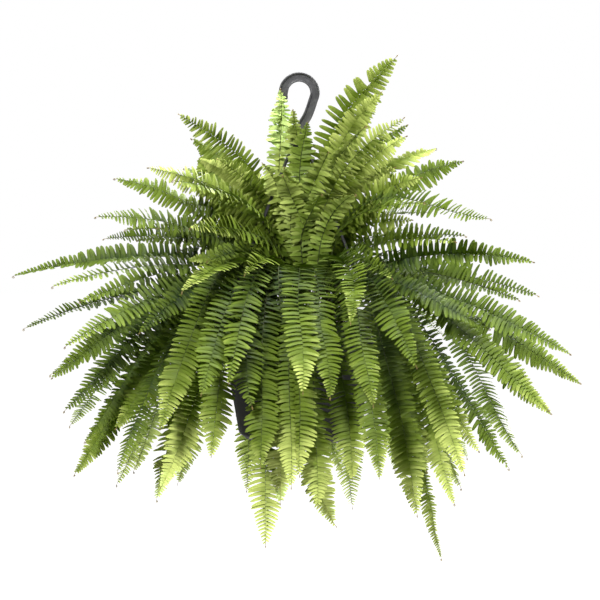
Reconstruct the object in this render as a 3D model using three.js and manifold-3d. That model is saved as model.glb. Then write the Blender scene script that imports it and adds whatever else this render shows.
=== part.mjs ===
// A sword fern in a hanging pot, in millimetres, +Z up.
// The origin is the point that the plant hangs from: the top of the hook's eye, on its inner edge.
// +X is to the right and -Y is towards a person who looks at the plant from the front.

import * as THREE from 'three';
import { mergeVertices } from 'three/addons/utils/BufferGeometryUtils.js';
import Module from 'manifold-3d';

const wasm = await Module();
wasm.setup();

// ---- sizes ------------------------------------------------------------------------------------

const clearance = 0.3;          // between pieces that touch
const roundSides = 32;          // facets of the pot and of the soil

const hook = {
  eyeRadius: 15.5,              // inner radius of the bend
  depth: 13,                    // of the section, across the bend
  width: 8,                     // of the section, front to back
  edge: 2.2,                    // thickness of the raised edges
  web: 3,                       // thickness of the recessed web
  lipDrop: 13,                  // straight end below the bend
  steps: 22,
};

const hub = { top: -84, height: 11, radius: 17, sides: 24 };

const pot = {
  rimZ: -326,
  height: 170,
  baseRadius: 84,
  baseChamfer: 7,
  rimRadius: 113,
  wall: 1.8,
  floor: 2.4,
  lip: 11,                      // how far the flange stands out from the wall
  skirt: 8,                     // turned-down edge of the flange
  drainHoles: 6,
  drainRadius: 5,
  drainCircle: 54,
};

const soil = { edgeZ: -346, crownZ: -336, rootDepth: 30 };

const arm = {
  angles: [-30, 90, 210],       // degrees round the pot
  width: 5,
  thickness: 2.6,
  headWidth: 12,
  headDepth: 4,
  headHeight: 5,
  headRadius: 10,               // of the head's middle from the axis
  footDrop: 7,                  // straight foot through the flange
  barbWidth: 8.4,
  barbHeight: 3,
};

const root = { width: 5, depth: 10.5, rise: 2, sunk: 0.5, apart: 3.6 };

// The roots stand in rings, from the tall fronds in the middle to the hanging ones outside.
const rootRings = [
  { radius: 12, count: 5 },
  { radius: 29, count: 10 },
  { radius: 46, count: 16 },
  { radius: 63, count: 23 },
];

const frond = {
  heartZ: -235,                 // height from which the fronds spread
  pitch: 56,                    // length of rib under one pair of leaflets
  bare: 0.3,                    // part of the length with no leaflets
  bareSteps: 2,
  ribWidth: 2.4,                // at the root, and at the tip below
  ribTipWidth: 1.2,
  thickness: 2,
  tipThickness: 0.9,
  leafletLength: 27,
  leafletThickness: 0.75,
  leafletLean: 0.66,            // where a leaflet's point lies along its base, 1 at the frond's tip end
  fold: 0.16,                   // how far leaflets droop, as a part of their length
  levelFold: -0.4,              // the same on a frond that spreads level
  room: 2.3,                    // kept between the mid surfaces of two blades
  roll: 0.85,                   // turn about the rib of a frond that points sideways, in radians
  tallTurn: 0.85,               // of a tall frond, as a part of the turn that faces it to the front
  rollJitter: 0.6,
  rollDone: 0.4,                // part of the length that the turn takes
  heights: [0.82, 1.2],         // of a rib's arch, as a part of the usual height
  seed: 5,
};

// Frond tips that the front view shows, in sprays that share a root: x, y, z, and for some the height
// that is added to the arch of the rib.
const sprays = [
  [[-165, -30, -45], [-110, -70, -105]],
  [[-155, 90, -80, -60], [-170, 150, -125]],
  [[-200, -110, -115], [-165, -150, -130]],
  [[-260, 30, -135, -40], [-125, -40, -160]],
  [[-270, -120, -180], [-325, -150, -270, -25], [-220, -60, -215]],
  [[-290, 170, -230], [-250, 80, -210]],
  [[-400, 0, -270], [-300, -60, -300]],
  [[-400, 90, -355, -50], [-360, 70, -420]],
  [[-305, -190, -345, -30], [-210, -160, -330]],
  [[-340, -60, -405], [-315, -130, -440]],
  [[-340, 130, -505], [-270, 110, -590]],
  [[-300, -30, -500], [-320, 10, -555]],
  [[-300, 60, -520], [-240, 60, -560]],
  [[-240, -170, -515], [-250, -90, -470]],
  [[-195, -90, -570], [-185, -150, -540]],
  [[-180, 120, -590], [-140, 130, -510]],
  [[-180, -210, -450], [-115, -190, -490]],
  [[-45, -150, -620], [-10, -200, -530], [-25, -160, -560]],
  [[25, -180, -560], [50, -140, -595], [0, -195, -515]],
  [[80, 160, -635]],
  [[105, -210, -515], [70, -190, -520], [75, -115, -150]],
  [[160, -120, -585], [175, -90, -530]],
  [[200, -40, -665], [215, -70, -580], [150, -70, -570]],
  [[190, 150, -615]],
  [[235, 60, -585], [142, 130, -570]],
  [[220, -160, -520], [245, -100, -500]],
  [[255, 190, -565]],
  [[295, -20, -540], [325, 80, -540, 40]],
  [[340, -90, -445], [365, -110, -365, -30]],
  [[360, 30, -470], [395, -10, -420]],
  [[350, 120, -310, -30], [315, 60, -310, -30], [240, 90, -220]],
  [[320, -60, -245, -30], [260, -80, -335], [210, -90, -215]],
  [[250, -160, -180, 130], [165, -130, -160, 30]],
  [[230, 30, -110], [165, -60, -130]],
  [[200, 140, -95], [150, 20, -75]],
  [[140, -90, -50], [90, -70, -60], [40, -75, -95]],
  [[155, 85, -60], [112, 66, -20]],
  [[135, -10, 35, 30], [112, -30, -15], [-8, -55, -38]],
  [[-25, -45, -10], [-50, -60, -110], [-20, -75, -115]],
  [[-125, -240, -400], [-50, -210, -500], [-120, -160, -235]],
  [[-90, -240, -385], [-60, -220, -420], [-70, -190, -250]],
  [[5, -260, -395], [40, -240, -405], [30, -108, -150]],
  [[95, -240, -415], [150, -240, -365], [120, -185, -255]],
  [[65, -260, -305], [-22, -98, -125], [12, -62, -55]],
  [[-150, -220, -270], [-140, -190, -190]],
];

// The far side, which the front view doesn't show, is filled by a rule: pairs of fronds at these
// reaches and heights in turn.
const farSide = { sprays: 9, from: 42, to: 138, seed: 9, jitter: 12 };
const farLevels = [
  [[215, -600], [300, -470]],
  [[330, -370], [280, -210]],
  [[170, -120], [250, -530]],
];

// A younger frond of each spray in the inner rings: how far it turns aside, reaches and rises.
const young = {
  rings: 3,
  seed: 3,
  turn: 30,                     // degrees from the spray's own direction, at most
  reach: [110, 230],
  front: [-0.8, -0.25],         // rise at the front, in radians
  back: [0, 1],
};

// A rib keeps this far from the middle of any other rib or of a strap, and takes the first of these
// bends, to one side, and lifts that let it do so.
const path = {
  parts: 14,                    // points in each stretch between two stations
  apart: 6.5,
  fromStrap: 8,
  strapPoints: 90,
  fromHub: 22,
  fromRim: 14,
  bends: [0, 12, -12, 24, -24, 36, -36, 50, -50, 66, -66],
  lifts: [1, 0.88, 1.14, 0.76, 1.28, 1.42, 0.66],
};

// ---- solids -----------------------------------------------------------------------------------

function toSolid(geometry) {
  const bare = geometry.clone();
  bare.deleteAttribute('normal');
  bare.deleteAttribute('uv');
  const merged = mergeVertices(bare, 1e-4);
  return new wasm.Manifold(new wasm.Mesh({
    numProp: 3,
    vertProperties: Float32Array.from(merged.attributes.position.array),
    triVerts: Uint32Array.from(merged.index.array),
  }));
}

function toGeometry(solid) {
  const mesh = solid.getMesh();
  const geometry = new THREE.BufferGeometry();
  geometry.setAttribute('position', new THREE.BufferAttribute(Float32Array.from(mesh.vertProperties), 3));
  geometry.setIndex(Array.from(mesh.triVerts));
  geometry.computeVertexNormals();
  return geometry;
}

function box(width, depth, height, x, y, z) {
  return new THREE.BoxGeometry(width, depth, height).translate(x, y, z);
}

function lathe(profile, sides) {
  const points = profile.map(([radius, z]) => new THREE.Vector2(radius, z));
  return new THREE.LatheGeometry(points, sides).rotateX(Math.PI / 2);
}

function draws(seed) {
  let state = seed;
  return () => {
    state = (Math.imul(state, 1664525) + 1013904223) >>> 0;
    return state / 4294967296;
  };
}

// ---- pot and soil -----------------------------------------------------------------------------

const potBaseZ = pot.rimZ - pot.height;
const taper = (pot.rimRadius - pot.baseRadius) / pot.height;
const flangeRadius = pot.rimRadius + pot.lip;
const slotRadius = pot.rimRadius + (pot.lip - pot.wall) / 2;

function potGeometry() {
  const innerBase = pot.baseRadius - pot.wall + taper * pot.floor;
  const profile = [
    [0, potBaseZ],
    [pot.baseRadius - pot.baseChamfer, potBaseZ],
    [pot.baseRadius + taper * pot.baseChamfer, potBaseZ + pot.baseChamfer],
    [pot.rimRadius - taper * pot.wall, pot.rimZ - pot.wall],
    [flangeRadius - pot.wall, pot.rimZ - pot.wall],
    [flangeRadius - pot.wall, pot.rimZ - pot.skirt],
    [flangeRadius, pot.rimZ - pot.skirt],
    [flangeRadius, pot.rimZ - 1],
    [flangeRadius - 1, pot.rimZ],
    [pot.rimRadius - pot.wall, pot.rimZ],
    [innerBase + taper * pot.baseChamfer, potBaseZ + pot.baseChamfer + pot.floor],
    [innerBase - pot.baseChamfer, potBaseZ + pot.floor],
    [0, potBaseZ + pot.floor],
  ];
  let body = toSolid(lathe(profile, roundSides));
  for (let i = 0; i < pot.drainHoles; i += 1) {
    const angle = (2 * Math.PI * (i + 0.5)) / pot.drainHoles;
    const drill = new THREE.CylinderGeometry(pot.drainRadius, pot.drainRadius, 4 * pot.floor, 12)
      .rotateX(Math.PI / 2)
      .translate(pot.drainCircle * Math.cos(angle), pot.drainCircle * Math.sin(angle), potBaseZ);
    body = body.subtract(toSolid(drill));
  }
  for (const angle of arm.angles) {
    const slot = box(
      arm.thickness + 2 * clearance, arm.width + 2 * clearance, 4 * pot.wall, slotRadius, 0, pot.rimZ,
    ).rotateZ(THREE.MathUtils.degToRad(angle));
    body = body.subtract(toSolid(slot));
  }
  return toGeometry(body);
}

function soilGeometry(rootPlaces) {
  const innerBase = pot.baseRadius - pot.wall + taper * pot.floor;
  const bottom = potBaseZ + pot.floor + clearance;
  const edgeRadius = pot.rimRadius - pot.wall - taper * (pot.rimZ - soil.edgeZ);
  const profile = [
    [0, bottom],
    [innerBase - pot.baseChamfer - 2 * clearance, bottom],
    [innerBase + taper * pot.baseChamfer - 2 * clearance, bottom + pot.baseChamfer],
    [edgeRadius - 2 * clearance, soil.edgeZ],
    [edgeRadius * 0.75, soil.crownZ],
    [0, soil.crownZ],
  ];
  let body = toSolid(lathe(profile, roundSides));
  for (const place of rootPlaces) {
    const hole = box(
      root.width + 2 * clearance, root.depth + 2 * clearance, 2 * soil.rootDepth, 0, 0, 0,
    ).rotateZ(place.angle).translate(place.x, place.y, soil.crownZ - clearance);
    body = body.subtract(toSolid(hole));
  }
  return toGeometry(body);
}

// ---- hanger -----------------------------------------------------------------------------------

function hookPath() {
  const radius = hook.eyeRadius + hook.depth / 2;
  const middle = -hook.eyeRadius;
  const points = [];
  points.push(new THREE.Vector3(-radius, 0, middle - hook.lipDrop));
  points.push(new THREE.Vector3(-radius, 0, middle - hook.lipDrop / 2));
  for (let degrees = 180; degrees >= -30; degrees -= 30) {
    const angle = THREE.MathUtils.degToRad(degrees);
    points.push(new THREE.Vector3(radius * Math.cos(angle), 0, middle + radius * Math.sin(angle)));
  }
  points.push(new THREE.Vector3(12, 0, -46));
  points.push(new THREE.Vector3(4, 0, -60));
  points.push(new THREE.Vector3(0, 0, -74));
  points.push(new THREE.Vector3(0, 0, hub.top - hub.height / 2));
  return new THREE.CatmullRomCurve3(points, false, 'centripetal');
}

function hookSection() {
  const half = hook.depth / 2;
  const out = hook.width / 2;
  const web = hook.web / 2;
  const inner = half - hook.edge;
  const corners = [
    [-out, -half], [out, -half], [out, -inner], [web, -inner], [web, inner], [out, inner],
    [out, half], [-out, half], [-out, inner], [-web, inner], [-web, -inner], [-out, -inner],
  ];
  return new THREE.Shape(corners.map(([x, y]) => new THREE.Vector2(x, y)));
}

function hookGeometry() {
  const bend = new THREE.ExtrudeGeometry(hookSection(), { steps: hook.steps, extrudePath: hookPath() });
  const hubMiddle = hub.top - hub.height / 2;
  const disc = new THREE.CylinderGeometry(hub.radius, hub.radius, hub.height, hub.sides)
    .rotateX(Math.PI / 2)
    .translate(0, 0, hubMiddle);
  let body = toSolid(bend).add(toSolid(disc));
  for (const degrees of arm.angles) {
    const angle = THREE.MathUtils.degToRad(degrees);
    const pocketHeight = arm.headHeight + 2 * clearance;
    const pocket = box(
      arm.headDepth + 2 * clearance, arm.headWidth + 2 * clearance, pocketHeight,
      arm.headRadius, 0, hub.top - pocketHeight / 2 + clearance,
    ).rotateZ(angle);
    const slot = box(
      hub.radius, arm.width + 2 * clearance, 2 * hub.height,
      arm.headRadius - arm.headDepth / 2 - clearance + hub.radius / 2, 0, hubMiddle,
    ).rotateZ(angle);
    body = body.subtract(toSolid(pocket)).subtract(toSolid(slot));
  }
  return toGeometry(body);
}

function armGeometry(degrees) {
  const headTop = hub.top;
  const top = new THREE.Vector3(arm.headRadius, 0, headTop - arm.headHeight / 2);
  const bottom = new THREE.Vector3(slotRadius, 0, pot.rimZ + arm.footDrop);
  const span = new THREE.Vector3().subVectors(bottom, top);
  const tilt = Math.atan2(span.x, -span.z);
  const middle = new THREE.Vector3().addVectors(top, bottom).multiplyScalar(0.5);
  const strap = box(arm.thickness, arm.width, span.length() + arm.thickness, 0, 0, 0)
    .rotateY(-tilt)
    .translate(middle.x, 0, middle.z);
  const head = box(arm.headDepth, arm.headWidth, arm.headHeight, arm.headRadius, 0, top.z);
  const barbTop = pot.rimZ - pot.wall - clearance;
  const foot = box(
    arm.thickness, arm.width, bottom.z - barbTop + arm.barbHeight, slotRadius, 0,
    (bottom.z + barbTop - arm.barbHeight) / 2,
  );
  const barb = box(
    arm.thickness, arm.barbWidth, arm.barbHeight, slotRadius, 0, barbTop - arm.barbHeight / 2,
  );
  const whole = [strap, foot, barb].reduce((sum, piece) => sum.add(toSolid(piece)), toSolid(head));
  return toGeometry(whole).rotateZ(THREE.MathUtils.degToRad(degrees));
}

// ---- fronds -----------------------------------------------------------------------------------

const up = new THREE.Vector3(0, 0, 1);
const between = THREE.MathUtils.clamp;

// The angle of a tip above the heart of the plant, in radians: about 1 for a tall frond and -0.8
// for one that hangs.
function riseOf([x, y, z]) {
  return Math.atan2(z - frond.heartZ, Math.hypot(x, y));
}

// The rib rises from its root, arches over and ends in the direction that a frond of this rise has. Its
// height and lifted are parts of the usual arch, and bend moves its middle to one side.
function ribCurve(start, lean, tip, height, bend, lifted) {
  const rise = riseOf(tip);
  const end = new THREE.Vector3(tip[0], tip[1], tip[2]);
  const out = new THREE.Vector3(tip[0], tip[1], 0).normalize();
  const reach = end.distanceTo(start);
  const hang = Math.max(-rise, 0);
  const tall = between((rise - 0.4) / 0.4, 0, 1);
  const towards = Math.max(-out.y - 0.4, 0) / 0.6;
  const droop = 0.15 + 0.17 * tall + 0.25 * Math.max(rise, 0) * (1 - tall)
    + 0.5 * towards * Math.min(hang / 0.4, 1);
  const tipAngle = Math.max(rise - droop, -1.45);
  const tipWay = out.clone().multiplyScalar(Math.cos(tipAngle)).addScaledVector(up, Math.sin(tipAngle));
  const lift = lifted * height * ((rise > 0.4 ? 0.52 * reach : 125 + 100 * hang) + (tip[3] ?? 0));
  const first = start.clone()
    .addScaledVector(up, lift)
    .addScaledVector(lean, 0.1 * lift)
    .addScaledVector(out, 0.25 * hang * lift);
  const second = end.clone().addScaledVector(tipWay, -0.4 * reach);
  const side = new THREE.Vector3().crossVectors(out, up);
  first.addScaledVector(side, bend * 0.5);
  second.addScaledVector(side, bend);
  return new THREE.CubicBezierCurve3(start, first, second, end);
}

// The turn about its rib that shows a frond's face: a level one that points sideways turns its upper
// face to the front, or to the back on the far side, and a tall one turns until it faces the front.
function rollOf(tip, draw) {
  const reach = Math.hypot(tip[0], tip[1]);
  const angle = Math.atan2(tip[1], tip[0]);
  const front = tip[1] < -0.55 * reach ? -Math.PI / 2 - angle : Math.PI / 2 - angle;
  const facing = Math.atan2(Math.sin(front), Math.cos(front));
  const level = (tip[1] < 60 ? 1 : -1) * Math.min(reach / 160, 1) * frond.roll * (tip[0] / reach);
  const tall = between((riseOf(tip) - 0.2) / 0.6, 0, 1);
  return THREE.MathUtils.lerp(level, facing, frond.tallTurn * tall) + frond.rollJitter * (draw() - 0.5);
}

// Leaflets droop on a frond that hangs and are raised on one that spreads level.
function foldOf(tip) {
  const level = Math.exp(-(((riseOf(tip) + 0.1) / 0.45) ** 2));
  return THREE.MathUtils.lerp(frond.fold, frond.levelFold, level);
}

// Places along a rib, as parts of its length: a few below the leaflets, then one for each pair.
function stationTimes(curve) {
  const pairs = Math.round((curve.getLength() * (1 - frond.bare)) / frond.pitch);
  const times = [];
  for (let i = 0; i < frond.bareSteps; i += 1) times.push((frond.bare * i) / frond.bareSteps);
  for (let i = 0; i <= pairs; i += 1) times.push(frond.bare + ((1 - frond.bare) * i) / pairs);
  return times;
}

// Stations along the rib, each with its point, its side and face directions and its section.
function ribStations(curve, tip, roll) {
  const fold = foldOf(tip);
  const across = new THREE.Vector3(tip[0], tip[1], 0).normalize().cross(up);
  return stationTimes(curve).map((t, i) => {
    const way = curve.getTangentAt(t);
    const side = across.clone().addScaledVector(way, -across.dot(way)).normalize()
      .applyAxisAngle(way, roll * Math.min(Math.sqrt(t / frond.rollDone), 1));
    return {
      t,
      leafy: i >= frond.bareSteps,
      fold,
      point: curve.getPointAt(t),
      side,
      face: new THREE.Vector3().crossVectors(side, way),
      halfWidth: THREE.MathUtils.lerp(frond.ribWidth, frond.ribTipWidth, t) / 2,
      halfThickness: THREE.MathUtils.lerp(frond.thickness, frond.tipThickness, t) / 2,
    };
  });
}

// How long leaflets are along the frond, from 0 to 1: short at the bottom and at the tip.
function leafletSize(t) {
  const along = (t - frond.bare) / (1 - frond.bare);
  return Math.min(0.55 + 2.2 * along, 1) * Math.min(0.34 + 1.9 * (1 - along), 1);
}

function leafletPoint(from, to, sign, length) {
  const point = new THREE.Vector3().lerpVectors(from.point, to.point, frond.leafletLean);
  const side = new THREE.Vector3().addVectors(from.side, to.side).normalize();
  const face = new THREE.Vector3().addVectors(from.face, to.face).normalize();
  point.addScaledVector(side, sign * (length + from.halfWidth));
  point.addScaledVector(face, -from.fold * length);
  return { point, face };
}

function edge(station, sign) {
  return station.point.clone().addScaledVector(station.side, sign * station.halfWidth);
}

function facePatches(stations) {
  const patches = [];
  for (let i = 0; i + 1 < stations.length; i += 1) {
    const from = stations[i];
    const to = stations[i + 1];
    patches.push(new THREE.Triangle(edge(from, -1), edge(from, 1), edge(to, 1)));
    patches.push(new THREE.Triangle(edge(from, -1), edge(to, 1), edge(to, -1)));
  }
  return patches;
}

// ---- keeping blades clear of each other -------------------------------------------------------

const edgesOf = (patch) => [
  new THREE.Line3(patch.a, patch.b),
  new THREE.Line3(patch.b, patch.c),
  new THREE.Line3(patch.c, patch.a),
];

function pierces(line, patch) {
  const way = line.delta(new THREE.Vector3());
  const length = way.length();
  const ray = new THREE.Ray(line.start, way.divideScalar(length));
  const hit = ray.intersectTriangle(patch.a, patch.b, patch.c, false, new THREE.Vector3());
  return hit !== null && hit.distanceTo(line.start) <= length;
}

function near(one, other, room) {
  const closest = new THREE.Vector3();
  const cornerNear = (from, patch) => [from.a, from.b, from.c]
    .some((corner) => patch.closestPointToPoint(corner, closest).distanceTo(corner) < room);
  if (cornerNear(one, other) || cornerNear(other, one)) return true;
  const mine = edgesOf(one);
  const theirs = edgesOf(other);
  return mine.some((a) => theirs.some((b) => a.distanceSqToLine3(b) < room * room))
    || mine.some((line) => pierces(line, other))
    || theirs.some((line) => pierces(line, one));
}

// Patches of the pieces that are placed, kept in cells so that only near ones are compared.
class Crowd {
  constructor(cell) {
    this.cell = cell;
    this.cells = new Map();
  }

  keys(patch, room) {
    const bounds = new THREE.Box3().setFromPoints([patch.a, patch.b, patch.c]).expandByScalar(room);
    const low = bounds.min.divideScalar(this.cell).floor();
    const high = bounds.max.divideScalar(this.cell).floor();
    const keys = [];
    for (let x = low.x; x <= high.x; x += 1) {
      for (let y = low.y; y <= high.y; y += 1) {
        for (let z = low.z; z <= high.z; z += 1) keys.push(`${x},${y},${z}`);
      }
    }
    return keys;
  }

  add(patch, owner) {
    for (const key of this.keys(patch, 0)) {
      if (!this.cells.has(key)) this.cells.set(key, []);
      this.cells.get(key).push({ patch, owner });
    }
  }

  // The owner of a patch that comes too near this one, or undefined.
  met(patch, owner, room) {
    for (const key of this.keys(patch, room)) {
      const found = (this.cells.get(key) ?? [])
        .find((item) => item.owner !== owner && near(patch, item.patch, room));
      if (found) return found.owner;
    }
    return undefined;
  }

  addGeometry(geometry, owner) {
    const flat = geometry.index ? geometry.toNonIndexed() : geometry;
    const corners = flat.attributes.position;
    for (let i = 0; i < corners.count; i += 3) {
      const [a, b, c] = [0, 1, 2].map((k) => new THREE.Vector3().fromBufferAttribute(corners, i + k));
      this.add(new THREE.Triangle(a, b, c), owner);
    }
  }
}

// Leaflets are as long as the room between their neighbours lets them be, or left out.
function fitLeaflets(stations, owner, crowd) {
  const leaflets = [];
  for (let i = 0; i + 1 < stations.length; i += 1) {
    const from = stations[i];
    const to = stations[i + 1];
    const pair = {};
    for (const sign of from.leafy ? [-1, 1] : []) {
      const full = frond.leafletLength * leafletSize((from.t + to.t) / 2);
      const fitting = [1, 0.8, 0.6, 0.4].map((part) => {
        const apex = leafletPoint(from, to, sign, full * part);
        return { apex, patch: new THREE.Triangle(edge(from, sign), apex.point, edge(to, sign)) };
      }).find(({ patch }) => !crowd.met(patch, owner, frond.room));
      if (fitting) {
        crowd.add(fitting.patch, owner);
        pair[sign] = fitting.apex;
      }
    }
    leaflets.push(pair);
  }
  return leaflets;
}

// One closed thin blade: the rib with its leaflets cut to it, split alike on both faces.
function bladeGeometry(stations, leaflets) {
  const corners = [];
  const triangles = [];
  const corner = (point) => corners.push(point) - 1;
  const pairOf = (point, face, halfThickness) => ({
    top: corner(point.clone().addScaledVector(face, halfThickness)),
    low: corner(point.clone().addScaledVector(face, -halfThickness)),
  });
  const quad = (a, b, c, d) => triangles.push(a, b, c, a, c, d);
  const rows = stations.map((station) => ({
    left: pairOf(edge(station, -1), station.face, station.halfThickness),
    right: pairOf(edge(station, 1), station.face, station.halfThickness),
  }));
  for (let i = 0; i + 1 < rows.length; i += 1) {
    const [from, to] = [rows[i], rows[i + 1]];
    quad(from.left.top, from.right.top, to.right.top, to.left.top);
    triangles.push(from.left.low, to.right.low, from.right.low);
    triangles.push(from.left.low, to.left.low, to.right.low);
    for (const [sign, back, far] of [[1, from.right, to.right], [-1, to.left, from.left]]) {
      const apex = leaflets[i][sign];
      if (apex) {
        const point = pairOf(apex.point, apex.face, frond.leafletThickness / 2);
        triangles.push(back.top, point.top, far.top);
        triangles.push(back.low, far.low, point.low);
        quad(back.low, point.low, point.top, back.top);
        quad(point.low, far.low, far.top, point.top);
      } else {
        quad(back.low, far.low, far.top, back.top);
      }
    }
  }
  const first = rows[0];
  const last = rows[rows.length - 1];
  quad(first.left.top, first.left.low, first.right.low, first.right.top);
  quad(last.left.top, last.right.top, last.right.low, last.left.low);
  const geometry = new THREE.BufferGeometry().setFromPoints(corners);
  geometry.setIndex(triangles);
  return geometry;
}

// ---- where the fronds stand -------------------------------------------------------------------

function farSprays() {
  const draw = draws(farSide.seed);
  const list = [];
  for (let i = 0; i < farSide.sprays; i += 1) {
    const middle = farSide.from + ((farSide.to - farSide.from) * i) / (farSide.sprays - 1);
    list.push(farLevels[i % farLevels.length].map(([reach, z]) => {
      const angle = THREE.MathUtils.degToRad(middle + farSide.jitter * (draw() - 0.5));
      const radius = reach * (0.92 + 0.16 * draw());
      return [radius * Math.cos(angle), radius * Math.sin(angle), z + 40 * (draw() - 0.5)];
    }));
  }
  return list;
}

// A root of the inner rings also bears a younger frond, which stands inside of the others.
function addYoung(list) {
  const draw = draws(young.seed);
  for (const item of list.filter(({ spray, ring }) => spray.length < 3 && ring < young.rings)) {
    const { spray } = item;
    const middle = (k) => spray.reduce((sum, tip) => sum + tip[k], 0) / spray.length;
    const angle = Math.atan2(middle(1), middle(0)) + THREE.MathUtils.degToRad(young.turn) * (2 * draw() - 1);
    const reach = THREE.MathUtils.lerp(...young.reach, draw());
    const behind = between(Math.sin(angle) + 0.8, 0, 1);
    const [low, high] = young.front.map((rise, k) => THREE.MathUtils.lerp(rise, young.back[k], behind));
    const rise = THREE.MathUtils.lerp(low, high, draw());
    const flat = reach * Math.cos(rise);
    item.young = [flat * Math.cos(angle), flat * Math.sin(angle), frond.heartZ + reach * Math.sin(rise)];
    spray.push(item.young);
  }
}

// The higher a spray's lowest frond, the further in it stands. Round each ring the roots keep the
// order of their fronds.
function placeRoots(list) {
  const middle = (spray, k) => spray.reduce((sum, tip) => sum + tip[k], 0) / spray.length;
  const items = list.map((spray, index) => ({
    index,
    spray,
    rise: Math.min(...spray.map(riseOf)),
    angle: Math.atan2(middle(spray, 1), middle(spray, 0)),
  }));
  const byRise = [...items].sort((a, b) => b.rise - a.rise);
  for (const [k, ring] of rootRings.entries()) {
    const members = byRise.splice(0, ring.count).sort((a, b) => a.angle - b.angle);
    const step = (2 * Math.PI) / members.length;
    const shift = members.reduce((sum, item, i) => sum + item.angle - i * step, 0) / members.length;
    members.forEach((item, i) => {
      item.ring = k;
      item.at = shift + i * step;
      item.x = ring.radius * Math.cos(item.at);
      item.y = ring.radius * Math.sin(item.at);
    });
  }
  return items;
}

// Points that ribs keep away from: those of the ribs so far, the hub, the rim and the straps.
const taken = [];

function takeHolders() {
  taken.push({ points: [new THREE.Vector3(0, 0, hub.top - hub.height / 2)], apart: path.fromHub });
  const rim = [];
  for (let degrees = 0; degrees < 360; degrees += 4) {
    rim.push(new THREE.Vector3(flangeRadius - pot.wall, 0, pot.rimZ - pot.skirt / 2)
      .applyAxisAngle(up, THREE.MathUtils.degToRad(degrees)));
  }
  taken.push({ points: rim, apart: path.fromRim });
  for (const degrees of arm.angles) {
    const top = new THREE.Vector3(arm.headRadius, 0, hub.top);
    const bottom = new THREE.Vector3(slotRadius, 0, pot.rimZ);
    const points = new THREE.LineCurve3(top, bottom).getPoints(path.strapPoints)
      .map((point) => point.applyAxisAngle(up, THREE.MathUtils.degToRad(degrees)));
    taken.push({ points, apart: path.fromStrap });
  }
}

function routePoints(curve) {
  const corners = stationTimes(curve).map((t) => curve.getPointAt(t));
  return corners.slice(1)
    .flatMap((corner, i) => new THREE.LineCurve3(corners[i], corner).getPoints(path.parts));
}

function isClear(points, owner) {
  const bounds = new THREE.Box3().setFromPoints(points);
  return taken.every((other) => other.owner === owner || other.points.every((point) => (
    bounds.distanceToPoint(point) >= other.apart
    || points.every((mine) => mine.distanceToSquared(point) >= other.apart ** 2)
  )));
}

function clearCurve({ start, tip, height }, lean, owner) {
  for (const lift of path.lifts) {
    for (const bend of path.bends) {
      const curve = ribCurve(start, lean, tip, height, bend, lift);
      const points = routePoints(curve);
      if (isClear(points, owner)) {
        taken.push({ points, owner, apart: path.apart });
        return curve;
      }
    }
  }
  return undefined;
}

// ---- the plant --------------------------------------------------------------------------------

const finish = {
  pot: { color: 0x2f3133, roughness: 0.55, metalness: 0 },
  hanger: { color: 0x45464a, roughness: 0.5, metalness: 0 },
  soil: { color: 0x3a2a1d, roughness: 0.95, metalness: 0 },
  frond: { color: 0x5a8a2e, roughness: 0.6, metalness: 0 },
};

const plant = new THREE.Group();
plant.name = 'potted_fern';

function place(name, geometry, look) {
  const mesh = new THREE.Mesh(geometry, new THREE.MeshStandardMaterial(look));
  mesh.name = name;
  plant.add(mesh);
}

const crowd = new Crowd(20);
const hanger = hookGeometry();
place('hanger_hook', hanger, finish.hanger);
crowd.addGeometry(hanger, 'hanger');
arm.angles.forEach((degrees, i) => {
  const strap = armGeometry(degrees);
  place(`hanger_arm_${i + 1}`, strap, finish.hanger);
  crowd.addGeometry(strap, 'hanger');
});

const potBody = potGeometry();
place('pot', potBody, finish.pot);
crowd.addGeometry(potBody, 'pot');

const items = placeRoots([...sprays, ...farSprays()]);
addYoung(items);
takeHolders();
const rootPlaces = items.map((item) => ({ x: item.x, y: item.y, angle: item.at }));
place('soil', soilGeometry(rootPlaces), finish.soil);

const drawStem = draws(frond.seed);
for (const item of items) {
  item.name = `frond_${String(item.index + 1).padStart(2, '0')}`;
  item.way = new THREE.Vector3(Math.cos(item.at), Math.sin(item.at), 0);
  const side = new THREE.Vector3(-item.way.y, item.way.x, 0);
  const sideways = (tip) => side.x * tip[0] + side.y * tip[1];
  const ordered = [...item.spray].sort((a, b) => sideways(a) - sideways(b));
  item.stems = ordered.map((tip, k) => ({
    tip,
    roll: rollOf(tip, drawStem),
    height: THREE.MathUtils.lerp(...frond.heights, drawStem()),
    start: new THREE.Vector3(item.x, item.y, soil.crownZ - root.sunk)
      .addScaledVector(side, (k - (ordered.length - 1) / 2) * root.apart),
  }));
}

// The grown fronds go first. A young one that finds no clear way is left out.
for (const grown of [true, false]) {
  for (const item of items) {
    for (const stem of item.stems.filter(({ tip }) => (tip !== item.young) === grown)) {
      stem.curve = clearCurve(stem, item.way, item.name);
      if (grown && !stem.curve) {
        throw new Error(`${item.name} finds no clear way to ${stem.tip.map(Math.round)}`);
      }
    }
  }
}
for (const item of items) {
  item.blades = item.stems.filter(({ curve }) => curve)
    .map(({ curve, tip, roll }) => ribStations(curve, tip, roll));
}

for (const item of items) {
  for (const stations of item.blades) {
    for (const patch of facePatches(stations)) crowd.add(patch, item.name);
  }
}

// A rib has no room to give way, so none may meet another piece.
for (const item of items) {
  for (const stations of item.blades) {
    for (const patch of facePatches(stations)) {
      const other = crowd.met(patch, item.name, frond.room);
      if (other) throw new Error(`${item.name} meets ${other} near ${patch.a.toArray().map(Math.round)}`);
    }
  }
}

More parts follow.
